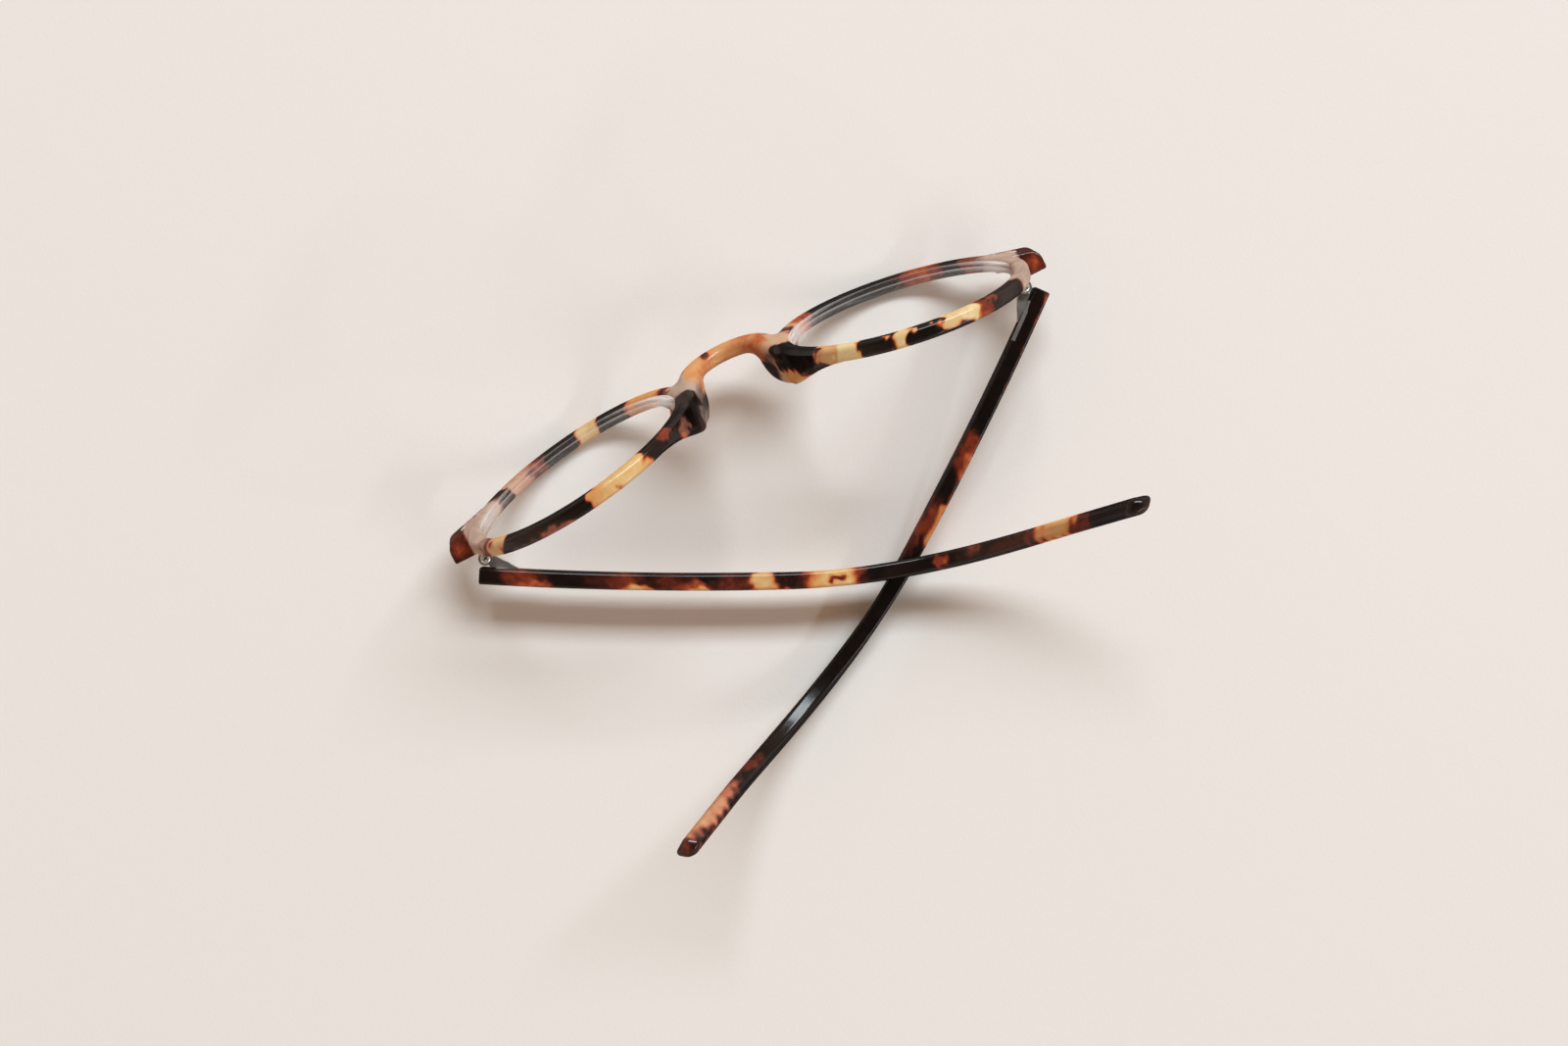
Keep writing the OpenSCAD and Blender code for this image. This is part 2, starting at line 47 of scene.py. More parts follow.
print("stage: frame")
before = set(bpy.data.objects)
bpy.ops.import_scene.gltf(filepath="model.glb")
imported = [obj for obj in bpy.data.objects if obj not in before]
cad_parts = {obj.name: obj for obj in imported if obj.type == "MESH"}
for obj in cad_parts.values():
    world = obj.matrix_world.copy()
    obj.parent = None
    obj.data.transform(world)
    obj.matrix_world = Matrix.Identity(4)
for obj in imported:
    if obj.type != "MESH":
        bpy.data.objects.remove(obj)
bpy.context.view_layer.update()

layout = {
    "lieTilt": 4.8,  # lean of the hinge axes against upright, degrees
    "hingeX": 59.75,  # from the middle of the glasses to a hinge axis
}

front = {
    "lensX": 35.0,  # from the middle of the glasses to the middle of a lens
    "openingRadius": 22.45,
    "rimFace": 3.0,  # width of a rim seen from the front
    "rimDepth": 3.0,
    "rimRounding": 0.9,
    "rimCurve": 232.0,  # radius of the bow that each rim lies on
    "wrap": 7.5,  # turn of each lens round the face, degrees
    "tilt": 14.5,  # lean of the front against the hinge axes, degrees
    "lensHeight": 11.4,  # middle of the lenses above the hinges
    "reach": 13.0,  # how far the front lies ahead of the hinge axes
    "skinStep": 0.3,  # spacing of the skin's points
    "skinLow": (-65.8, -17.2, -14.8),
    "skinHigh": (65.8, -1.0, 37.5),
}

bridge = {
    "innerRadius": 6.3,
    "width": 3.8,
    "depth": 3.1,
    "level": 4.6,  # middle of the arch above the hinges
    "reach": 14.3,
    "lean": 4.0,  # further lean of the arch, degrees
    "rounding": 1.15,
    "legTop": 9.0,  # where the legs end, above the middle of the arch
    "legSplay": 1.9,  # how far a leg runs out over that height
    "legTaper": 0.8,
    "legEdge": 0.6,
    "offLens": 0.4,  # how far the legs stay off the lens opening
    "fillet": 2.6,
    "filletRun": 1.2,  # how soon the fillet grows beside the opening
    "turnover": 2.5,  # how slowly the rim's faces turn into the bridge's
}

leastFillet = 0.05
hands = (("right", 1), ("left", -1))


def turn(points, degrees):
    # Turns points about the x axis, the top of the glasses forward
    angle = math.radians(degrees)
    x, y, z = points[..., 0], points[..., 1], points[..., 2]
    return np.stack([x, y * math.cos(angle) + z * math.sin(angle),
                     z * math.cos(angle) - y * math.sin(angle)], axis=-1)


def findSaddle():
    lean = math.radians(bridge["lean"])
    level = bridge["level"] - bridge["innerRadius"] * math.cos(lean)
    reach = bridge["reach"] + bridge["innerRadius"] * math.sin(lean)
    return turn(np.array([0.0, -reach, level]), front["tilt"])


saddle = findSaddle()


def lay(points):
    return turn(points - saddle, layout["lieTilt"]) / 1000.0


# Distance fields are negative inside, in mm

def blend(a, b, fillet):
    # Union of two fields with a fillet
    share = np.clip(0.5 + 0.5 * (b - a) / fillet, 0.0, 1.0)
    return b + (a - b) * share - fillet * share * (1.0 - share)


def smooth(value, start, end):
    share = np.clip((value - start) / (end - start), 0.0, 1.0)
    return share * share * (3 - 2 * share)


def meet(a, b, edge):
    # Intersection of two fields with a rounded edge
    return -blend(-a, -b, edge)


def setback(radius, curve):
    return curve - math.sqrt(curve * curve - radius * radius)


def roundedBar(plan, depth, rounding):
    # A bar from the fields of its outline and of its thickness
    overU, overV = plan + rounding, depth + rounding
    outside = np.hypot(np.maximum(overU, 0.0), np.maximum(overV, 0.0))
    return outside + np.minimum(np.maximum(overU, overV), 0.0) - rounding


def insidePolygon(x, y, corners):
    # Signed distance to a closed outline
    nearest = np.full(np.shape(x), 1e9)
    sign = np.ones(np.shape(x))
    for (ax, ay), (bx, by) in zip(corners, corners[1:] + corners[:1]):
        edgeX, edgeY = bx - ax, by - ay
        offX, offY = x - ax, y - ay
        along = np.clip((offX * edgeX + offY * edgeY) / (edgeX ** 2 + edgeY ** 2), 0.0, 1.0)
        nearest = np.minimum(nearest, (offX - edgeX * along) ** 2 + (offY - edgeY * along) ** 2)
        above, below = y >= ay, y < by
        left = edgeX * offY > edgeY * offX
        crossing = (above & below & left) | (~above & ~below & ~left)
        sign = np.where(crossing, -sign, sign)
    return sign * np.sqrt(nearest)


def lensFrame(points):
    # Points of the front as seen from the nearer lens: across, back and up
    wrap = math.radians(front["wrap"])
    x = np.abs(points[..., 0]) - front["lensX"]
    y = points[..., 1] + front["reach"]
    z = points[..., 2] - front["lensHeight"]
    return (x * math.cos(wrap) + y * math.sin(wrap), y * math.cos(wrap) - x * math.sin(wrap), z)


rimMiddle = front["openingRadius"] + front["rimFace"] / 2
rimMiddleY = setback(rimMiddle, front["rimCurve"]) + front["rimDepth"] / 2


def archFrame(points):
    lean = math.radians(bridge["lean"])
    y = points[..., 1] + bridge["reach"]
    z = points[..., 2] - bridge["level"]
    return (points[..., 0], y * math.cos(lean) - z * math.sin(lean),
            y * math.sin(lean) + z * math.cos(lean))


def bridgePlan(points):
    x, _, z = archFrame(points)
    x = np.abs(x)
    middle = bridge["innerRadius"] + bridge["width"] / 2
    splay = math.atan2(bridge["legSplay"], bridge["legTop"])
    arc = np.abs(np.hypot(x, z) - middle) - bridge["width"] / 2
    taper = bridge["legTaper"] * np.clip(z / bridge["legTop"], 0.0, 1.0)
    leg = np.abs((x - middle) * math.cos(splay) - z * math.sin(splay)) - bridge["width"] / 2 + taper
    return meet(np.where(z < 0.0, arc, leg), z - bridge["legTop"], bridge["legEdge"])


def loopField(points, deep=0.0):
    # Rims and bridge, joined in outline so that their faces run into each other
    x, y, z = lensFrame(points)
    rim = np.abs(np.hypot(x, z) - rimMiddle) - front["rimFace"] / 2
    arch = np.maximum(bridgePlan(points), front["openingRadius"] + bridge["offLens"] - np.hypot(x, z))
    clear = smooth(np.hypot(x, z), front["openingRadius"], front["openingRadius"] + bridge["filletRun"])
    plan = blend(rim, arch, leastFillet + bridge["fillet"] * clear)
    share = smooth(arch - rim, -bridge["turnover"], bridge["turnover"])
    depth = np.abs(share * (y - rimMiddleY - deep / 2) + (1 - share) * archFrame(points)[1])
    half = share * (front["rimDepth"] + deep) / 2 + (1 - share) * bridge["depth"] / 2
    rimRounding = front["rimRounding"] + pad["wallRounding"] * deep
    rounding = share * rimRounding + (1 - share) * bridge["rounding"]
    return roundedBar(plan, depth - half, rounding)


endpiece = {
    "startX": 56.05,
    "startY": -8.3,
    "outerX": 65.43,
    "slope": 14.0,  # turn of the front face, degrees
    "cornerRadius": 2.3,
    "halfHeight": 2.88,
    "rootY": -5.3,  # back of the block where it starts
    "innerX": 60.6,  # inner side of the part that runs back to the temple
    "innerY": -4.3,
    "farY": 13.0,  # well behind backY, where the part is cut square
    "backY": -1.52,
    "edge": 0.45,
    "seat": 0.3,  # how far the block reaches over the middle of the rim
    "fillet": 1.1,
}


def endpieceOutline():
    slope = math.radians(endpiece["slope"])
    radius = endpiece["cornerRadius"]
    cornerX = endpiece["outerX"] - radius
    run = cornerX - endpiece["startX"]
    cornerY = endpiece["startY"] + (radius + run * math.sin(slope)) / math.cos(slope)
    sweep = [math.radians(-90 + endpiece["slope"] + i * (90 - endpiece["slope"]) / 8) for i in range(9)]
    corner = [(cornerX + radius * math.cos(a), cornerY + radius * math.sin(a)) for a in sweep]
    return ([(endpiece["startX"], endpiece["startY"])] + corner
            + [(endpiece["outerX"], endpiece["farY"]), (endpiece["innerX"], endpiece["farY"]),
               (endpiece["innerX"], endpiece["innerY"]), (endpiece["startX"], endpiece["rootY"])])


endpieceCorners = endpieceOutline()


def endpieceField(points):
    hinge = turn(points, front["tilt"])
    x, _, z = lensFrame(points)
    plan = insidePolygon(np.abs(points[..., 0]), points[..., 1], endpieceCorners)
    slab = meet(np.abs(hinge[..., 2]) - endpiece["halfHeight"], hinge[..., 1] - endpiece["backY"],
                endpiece["edge"])
    block = meet(plan, slab, endpiece["edge"])
    return meet(block, rimMiddle - endpiece["seat"] - np.hypot(x, z), endpiece["seat"])


def barField(points, deep=0.0):
    return blend(loopField(points, deep), endpieceField(points), endpiece["fillet"])


pad = {
    "halfGap": 6.3,
    "reach": 10.3,
    "curveRadius": 9.3,  # bow of the side that lies on the nose
    "sweep": 48.0,  # how far that side turns, degrees
    "tipRadius": 1.2,
    "tipTurn": 8.0,  # how far the tip is turned past that, degrees
    "lead": 3.0,  # straight run ahead of the bow
    "root": [(15.5, -4.9), (15.5, -9.0), (10.5, -13.3)],  # corners behind the rim
    "sideRadius": 14.0,  # bow of the back, seen from the side
    "level": 10.5,
    "squash": 0.8,
    "fullness": 0.65,  # how far that bow stands out behind the tip
    "middle": 11.5,
    "halfTall": 12.2,
    "endEdge": 4.5,
    "splay": 0.36,  # how fast the pads spread towards the cheeks
    "splayFrom": 8.0,
    "splayRun": 16.0,
    "edge": 2.4,
    "rimInset": 0.5,  # how far the pad starts ahead of the rim's middle
    "rimEdge": 1.2,
    "offLens": 0.75,
    "lensEdge": 0.8,
    "fillet": 2.2,
    "filletRun": 2.0,
    "wallDepth": 5.7,  # how far the rim's wall runs back into the pad
    "wallRounding": 0.09,
    "wallRise": (128.0, 186.0),  # degrees round the rim
    "wallFall": (214.0, 186.0),
    "splitDepth": 0.3,  # where the pad's own skin starts, ahead of the rim's back
    "splitRise": 0.1,  # how fast that line leaves the rim's ends, mm a degree
    "splitMargin": 3,
    "splitReach": 2.5,
    "apron": 0.9,  # how far the pad's own skin runs out over the rim
    "feather": 0.5,  # how fast one skin sinks under the other
    "lift": 0.02,  # how far the pad's skin stands proud of the front's
    "skinEnd": 0.6,
    "skinX": (4.0, 21.5),
    "skinY": (-16.5, -1.5),
    "skinZ": (-8.0, 34.0),
}


def padOutline():
    sweep = math.radians(pad["sweep"])
    radius, tip = pad["curveRadius"], pad["tipRadius"]
    startX, startY = pad["halfGap"], -pad["reach"]
    side = [(startX + radius * (1 - math.cos(sweep * i / 8)), startY + radius * math.sin(sweep * i / 8))
            for i in range(9)]
    tipX = startX + radius - (radius - tip) * math.cos(sweep)
    tipY = startY + (radius - tip) * math.sin(sweep)
    tipSweep = math.pi - sweep + math.radians(pad["tipTurn"])
    end = [math.pi - sweep - tipSweep * i / 6 for i in range(1, 7)]
    point = [(tipX + tip * math.cos(a), tipY + tip * math.sin(a)) for a in end]
    return [(startX, startY - pad["lead"])] + side + point + pad["root"]


padCorners = padOutline()


def padField(points):
    hinge = turn(points, front["tilt"])
    x, y, z = lensFrame(points)
    splay = pad["splay"] * np.clip(hinge[..., 2] - pad["splayFrom"], 0.0, pad["splayRun"])
    plan = insidePolygon(np.abs(hinge[..., 0]) - splay, hinge[..., 1], padCorners)
    backY = pad["curveRadius"] * math.sin(math.radians(pad["sweep"])) + pad["fullness"] - pad["reach"]
    rise = (hinge[..., 2] - pad["level"]) * pad["squash"]
    side = np.hypot(hinge[..., 1] - backY + pad["sideRadius"], rise) - pad["sideRadius"]
    body = meet(plan, side, pad["edge"])
    body = meet(body, np.abs(hinge[..., 2] - pad["middle"]) - pad["halfTall"], pad["endEdge"])
    body = meet(body, rimMiddleY - pad["rimInset"] - y, pad["rimEdge"])
    return meet(body, front["openingRadius"] + pad["offLens"] - np.hypot(x, z), pad["lensEdge"])


def noseField(points):
    # Rims, bridge and pads as one smooth body, the bars alone, and how far away the pads' own share is
    x, y, z = lensFrame(points)
    body = padField(points)
    radius = np.hypot(x, z)
    angle = np.degrees(np.arctan2(z, x)) % 360.0
    start, end = pad["wallRise"][0], pad["wallFall"][0]
    # The wall of the rim runs back into the pad
    deep = pad["wallDepth"] * smooth(angle, *pad["wallRise"]) * smooth(angle, *pad["wallFall"])
    clear = smooth(radius, front["openingRadius"], front["openingRadius"] + pad["filletRun"])
    joined = blend(barField(points, deep), body, leastFillet + pad["fillet"] * clear)
    behind = rimMiddleY + front["rimDepth"] / 2 - pad["splitDepth"] - y
    ends = np.maximum(start + pad["splitMargin"] - angle, angle - end + pad["splitMargin"])
    behind = np.maximum(behind, pad["splitRise"] * ends)
    behind = np.maximum(behind, radius - rimMiddle - pad["splitReach"])
    return joined, barField(points), np.minimum(body - pad["apron"], behind)


def frontField(points):
    joined, bars, away = noseField(points)
    return np.minimum(bars, joined + pad["feather"] * np.maximum(-away, 0.0))


def padSkinField(points):
    joined, _, away = noseField(points)
    sinking = pad["feather"] * np.maximum(away, 0.0)
    return np.maximum(joined - pad["lift"] + sinking, away - pad["skinEnd"])


def gradientAt(field, points, reach=0.02):
    parts = []
    for axis in range(3):
        shift = np.zeros(3)
        shift[axis] = reach
        parts.append((field(points + shift) - field(points - shift)) / (2 * reach))
    return np.stack(parts, axis=-1)


def skin(field, low, high, step):
    # Points and four-cornered faces on the zero level of a field
    axes = [np.arange(lo, hi + step, step) for lo, hi in zip(low, high)]
    sizes = [len(axis) for axis in axes]
    level = np.empty(sizes, dtype=np.float32)
    flat = np.stack(np.meshgrid(axes[1], axes[2], indexing="ij"), axis=-1)
    for i, x in enumerate(axes[0]):
        points = np.empty(flat.shape[:2] + (3,))
        points[..., 0] = x
        points[..., 1:] = flat
        level[i] = field(points)
    inside = level < 0
    cells = [n - 1 for n in sizes]
    total = np.zeros(cells, dtype=np.int8)
    for i in (0, 1):
        for j in (0, 1):
            for k in (0, 1):
                total += inside[i:i + cells[0], j:j + cells[1], k:k + cells[2]]
    active = np.argwhere((total > 0) & (total < 8))
    number = np.full(cells, -1, dtype=np.int64)
    number[tuple(active.T)] = np.arange(len(active))
    # Each active cell gets the mean of its edge crossings
    sums = np.zeros((len(active), 3))
    counts = np.zeros(len(active))
    for axis in range(3):
        others = [a for a in range(3) if a != axis]
        for first in (0, 1):
            for second in (0, 1):
                start = np.zeros(3, dtype=int)
                start[others[0]], start[others[1]] = first, second
                end = start.copy()
                end[axis] = 1
                a = level[tuple((active + start).T)]
                b = level[tuple((active + end).T)]
                cut = (a < 0) != (b < 0)
                share = np.where(cut, a / np.where(cut, a - b, 1.0), 0.0)
                place = np.tile(start.astype(float), (len(active), 1))
                place[:, axis] = share
                sums[cut] += place[cut]
                counts[cut] += 1
    points = np.array([axis[0] for axis in axes]) + (active + sums / counts[:, None]) * step
    faces = []
    for axis in range(3):
        b, c = (axis + 1) % 3, (axis + 2) % 3
        span = [slice(1, cells[a]) for a in range(3)]
        span[axis] = slice(0, cells[axis])
        ahead = list(span)
        ahead[axis] = slice(1, cells[axis] + 1)
        here, there = inside[tuple(span)], inside[tuple(ahead)]
        spots = np.argwhere(here != there)
        offset = np.array([s.start for s in span])
        spots = spots + offset
        leaving = inside[tuple(spots.T)]
        quad = []
        for stepB, stepC in ((0, 0), (-1, 0), (-1, -1), (0, -1)):
            cell = spots.copy()
            cell[:, b] += stepB
            cell[:, c] += stepC
            quad.append(number[tuple(cell.T)])
        quad = np.stack(quad, axis=1)
        faces.append(np.where(leaving[:, None], quad, quad[:, ::-1]))
    # The points settle on the surface itself
    for _ in range(3):
        slope = gradientAt(field, points)
        steep = np.maximum((slope ** 2).sum(axis=1), 0.2)
        points = points - np.clip(field(points), -step, step)[:, None] * slope / steep[:, None]
    return points, np.concatenate(faces)


def normalsOf(field, points):
    slope = gradientAt(field, points)
    return slope / np.linalg.norm(slope, axis=1)[:, None]


# Pattern of the acetate: tone from black to cream, haze towards clear grey

def wander(points, scale, seed):
    # Smooth wavering between -1 and 1
    total = np.zeros(points.shape[:-1])
    for i in range(1, 6):
        heading = np.array([math.sin(i * 2.4 + seed), math.sin(i * 4.1 + 2 * seed),
                            math.sin(i * 5.3 - seed)])
        total = total + np.sin(points @ heading * (0.6 + 0.35 * i) / scale + i * 1.7 + seed)
    return total / 3.2


def waver(points, waves):
    # Waves of an amount, a length and a seed each
    return sum(amount * wander(points, scale, seed) for amount, scale, seed in waves)


def mixIn(value, target, share):
    return value + (target - value) * share


def paintPatches(along, across, patches, base, edge):
    tone = np.full(np.shape(along), base[0])
    haze = np.full(np.shape(along), base[1])
    for middle, half, centre, width, patchTone, patchHaze in patches:
        far = np.hypot((along - middle) / half, (across - centre) / width)
        cover = 1 - smooth(far, *edge)
        tone = mixIn(tone, patchTone, cover)
        haze = mixIn(haze, patchHaze, cover)
    return tone, haze


allDepth = 9.0

# Middle and half length in degrees round the rim, middle and half width across it, tone, haze
rightRimPatches = [
    (6, 24, 0, allDepth, 0.60, 0.90), (38, 6, 0, allDepth, 0.84, 0.20),
    (54, 10, 0, allDepth, 0.16, 0.10), (56, 9, 1.0, 0.8, 0.30, 0.55),
    (75, 9, 0.6, 1.1, 0.46, 0.25), (84, 8, -0.5, 1.1, 0.03, 0.0),
    (93, 3.5, 0, allDepth, 0.55, 0.0), (107, 14, 0, allDepth, 0.82, 0.0),
    (104, 2, 0.5, 0.5, 0.55, 0.0), (129, 8, 0, allDepth, 0.12, 0.0),
    (137, 4, -0.4, 1.0, 0.42, 0.0), (148, 6, 0.9, 1.4, 0.42, 0.35),
    (143, 5, 2.2, 1.2, 0.50, 0.1), (166, 13, 0, 2.6, 0.03, 0.0), (170, 13, -1.1, 0.7, 0.20, 0.75),
    (190, 12, 0, allDepth, 0.64, 0.95), (176, 12, 3.4, 2.4, 0.30, 0.95),
    (203, 3.2, 0.5, 2.2, 0.36, 0.2), (221, 13, 0, allDepth, 0.68, 0.0),
    (245, 9, 0, allDepth, 0.03, 0.0), (261, 6.5, 0, allDepth, 0.84, 0.1),
    (278, 9, 0, allDepth, 0.05, 0.0), (291, 5, 0, allDepth, 0.36, 0.1),
    (306, 10, 0, allDepth, 0.60, 0.55), (318, 4, 0, allDepth, 0.16, 0.2),
    (341, 17, 0, allDepth, 0.60, 0.90), (362, 12, 0, allDepth, 0.60, 0.90),
]
leftRimPatches = [
    (16, 22, 0, allDepth, 0.58, 0.90), (48, 11, 0, allDepth, 0.17, 0.45),
    (61, 4, 0, allDepth, 0.42, 0.0), (71, 6, -0.2, allDepth, 0.95, 0.0),
    (81, 7, -0.7, 1.1, 0.88, 0.0), (77, 8, 0.95, 0.75, 0.02, 0.0),
    (93, 5.5, 0, allDepth, 0.02, 0.0), (102.5, 4.8, 0, allDepth, 0.92, 0.0),
    (114.5, 7, 0, allDepth, 0.02, 0.0), (116, 6, 0.9, 0.6, 0.20, 0.4),
    (128, 6.5, 0.2, allDepth, 0.93, 0.0), (138.5, 5, -0.3, allDepth, 0.72, 0.2),
    (143, 5, 1.4, 0.7, 0.20, 0.3), (135, 2.5, 1.6, 0.5, 0.46, 0.0),
    (166, 17, -0.1, 1.7, 0.02, 0.0), (163, 11, 3.2, 1.6, 0.74, 0.1), (176, 7, 4.4, 1.6, 0.45, 0.1),
    (188, 11, 0, allDepth, 0.76, 0.60), (205, 3, 0, allDepth, 0.30, 0.3),
    (212, 4, 0, allDepth, 0.62, 0.5), (221, 7, 0, allDepth, 0.50, 0.0),
    (253, 25, 0, allDepth, 0.03, 0.0), (291, 12, 0, allDepth, 0.42, 0.0),
    (309, 5, 0, allDepth, 0.12, 0.0), (320, 5, 0, allDepth, 0.42, 0.1),
    (342, 16, 0, allDepth, 0.60, 0.90), (362, 12, 0, allDepth, 0.60, 0.90),
]


frontPaint = {
    "base": (0.12, 0.0),
    "edge": (0.62, 1.36),  # where a patch starts and ends to fade, in shares of its size
    "roundWaves": [(3.2, 1.5, 1.0), (1.6, 0.55, 4.0)],
    "depthWaves": [(0.35, 1.1, 3.0)],
    "noseRun": (0.1, 1.5),  # each run is where a colour starts and ends to fade, in mm
    "noseDepth": (-0.9, 0.3),
    "nosePad": (0.4, 1.6),
    "noseTone": (0.31, 0.20),  # right and left
    "noseHaze": (0.95, 0.85),
    "noseWaves": [(0.05, 2.0, 5.0)],
    "amberTone": 0.63,
    "amberSlope": 0.05,  # the bridge gets paler to the right
    "amberHaze": 0.08,
    "amberHalf": 6.4,
    "amberRun": (0.2, 1.8),
    "amberDepth": (1.9, 3.2),
    "amberWaves": [(0.05, 1.6, 2.0)],
    "spot": (3.2, -16.4),
    "spotRun": (0.45, 1.25),
    "spotTone": 0.30,
    "blockTone": 0.30,
    "blockGlow": 0.12,
    "blockAcross": (60.9, 61.5),
    "blockUp": (2.9, 3.4),
    "glow": (63.2, -3.6),  # brightest place of an endpiece
    "glowRun": (0.4, 2.4),
}


def frontPattern(points):
    look = frontPaint
    x, y, z = lensFrame(points)
    radius = np.hypot(x, z)
    angle = np.degrees(np.arctan2(z, x)) % 360.0 + waver(points, look["roundWaves"])
    depth = (y - rimMiddleY) / (front["rimDepth"] / 2) + waver(points, look["depthWaves"])
    right = paintPatches(angle, depth, rightRimPatches, look["base"], look["edge"])
    left = paintPatches(angle, depth, leftRimPatches, look["base"], look["edge"])
    onRight = points[:, 0] > 0
    tone = np.where(onRight, right[0], left[0])
    haze = np.where(onRight, right[1], left[1])
    hinge = turn(points, front["tilt"])
    # Side of the pads towards the nose
    nose = smooth(radius - rimMiddle - front["rimFace"] / 2, *look["noseRun"])
    nose = nose * smooth(depth, *look["noseDepth"]) * (1 - smooth(padField(points), *look["nosePad"]))
    tone = mixIn(tone, np.where(onRight, *look["noseTone"]) + waver(points, look["noseWaves"]), nose)
    haze = mixIn(haze, np.where(onRight, *look["noseHaze"]), nose)
    # Amber bridge with a dark spot
    beyond = np.maximum(np.abs(points[:, 0]) - look["amberHalf"], 0)
    inBridge = 1 - smooth(bridgePlan(points) + beyond, *look["amberRun"])
    inBridge = inBridge * (1 - smooth(archFrame(points)[1], *look["amberDepth"]))
    amber = look["amberTone"] + look["amberSlope"] * np.tanh(points[:, 0] / 4.0)
    tone = mixIn(tone, amber + waver(points, look["amberWaves"]), inBridge)
    haze = mixIn(haze, look["amberHaze"], inBridge)
    spotX, spotY = look["spot"]
    spot = 1 - smooth(np.hypot(hinge[:, 0] - spotX, hinge[:, 1] - spotY), *look["spotRun"])
    tone = mixIn(tone, look["spotTone"], spot * inBridge)
    # Dark red-brown endpieces
    inBlock = smooth(np.abs(points[:, 0]), *look["blockAcross"])
    inBlock = inBlock * (1 - smooth(hinge[:, 2], *look["blockUp"]))
    glowX, glowY = look["glow"]
    far = np.hypot(np.abs(hinge[:, 0]) - glowX, hinge[:, 1] - glowY)
    glow = 1 - smooth(far, *look["glowRun"])
    tone = mixIn(tone, look["blockTone"] + look["blockGlow"] * glow, inBlock)
    return tone, haze * (1 - inBlock)


# Middle and half length in mm from the butt end, middle and half width across, tone, haze
rightTemplePatches = [
    (9, 4, 0.3, 2.0, 0.36, 0.0), (12, 3, 0.9, 0.7, 0.50, 0.0), (28, 6, 0.1, 1.6, 0.36, 0.0),
    (32, 4, 1.0, 0.55, 0.78, 0.0), (38, 4, 0.0, 1.6, 0.30, 0.0), (43.5, 4, 0.5, 0.8, 0.44, 0.0),
    (44, 3.6, 1.15, 0.5, 0.80, 0.0), (50, 4, 0.2, 1.8, 0.33, 0.0), (56.3, 2.6, 0, allDepth, 0.80, 0.1),
    (61, 2.8, -0.3, 1.4, 0.20, 0.0), (60, 2.5, 1.1, 0.4, 0.60, 0.0), (69.5, 5.4, 0, allDepth, 0.82, 0.0),
    (70, 1.9, 0.15, 0.36, 0.34, 0.0), (91.4, 1.6, 0.1, 0.9, 0.46, 0.0), (98.5, 2.6, -0.2, 0.9, 0.30, 0.1),
    (106, 4, 0.4, 1.2, 0.26, 0.0), (118, 7.0, -0.2, 1.8, 0.74, 0.0), (119, 5.0, 1.3, 0.5, 0.36, 0.0),
    (126.5, 2.5, 0.2, allDepth, 0.34, 0.0), (146, 6.5, 1.2, 1.1, 0.36, 0.45),
]
leftTemplePatches = [
    (4, 6, 1.1, 0.6, 0.40, 0.0), (16, 9, 1.15, 0.5, 0.30, 0.0), (36, 4.5, 0.1, 1.6, 0.36, 0.0),
    (38, 4, 0.9, 0.6, 0.46, 0.0), (53, 8.5, -0.3, 1.2, 0.40, 0.0), (50, 7, 0.95, 0.55, 0.62, 0.0),
    (58, 4, 0.2, 0.5, 0.14, 0.0), (113, 3, -0.6, 1.2, 0.34, 0.0), (130, 11, -0.6, 1.25, 0.60, 0.28),
    (134, 6, -1.1, 0.6, 0.72, 0.35), (136, 6, 1.1, 0.4, 0.36, 0.0), (142, 2.0, -0.4, 1.2, 0.30, 0.0),
    (148, 4.5, 0.2, allDepth, 0.48, 0.45),
]


class Wire:
    # A shader socket that can be used in expressions
    def __init__(self, tree, socket):
        self.tree = tree
        self.socket = socket

    def maths(self, operation, first, second):
        node = self.tree.nodes.new("ShaderNodeMath")
        node.operation = operation
        for socket, term in zip(node.inputs, (first, second)):
            if isinstance(term, Wire):
                self.tree.links.new(term.socket, socket)
            else:
                socket.default_value = term
        return Wire(self.tree, node.outputs[0])

    def __add__(self, other):
        return self.maths("ADD", self, other)

    def __radd__(self, other):
        return self.maths("ADD", other, self)

    def __sub__(self, other):
        return self.maths("SUBTRACT", self, other)

    def __rsub__(self, other):
        return self.maths("SUBTRACT", other, self)

    def __mul__(self, other):
        return self.maths("MULTIPLY", self, other)

    def __rmul__(self, other):
        return self.maths("MULTIPLY", other, self)


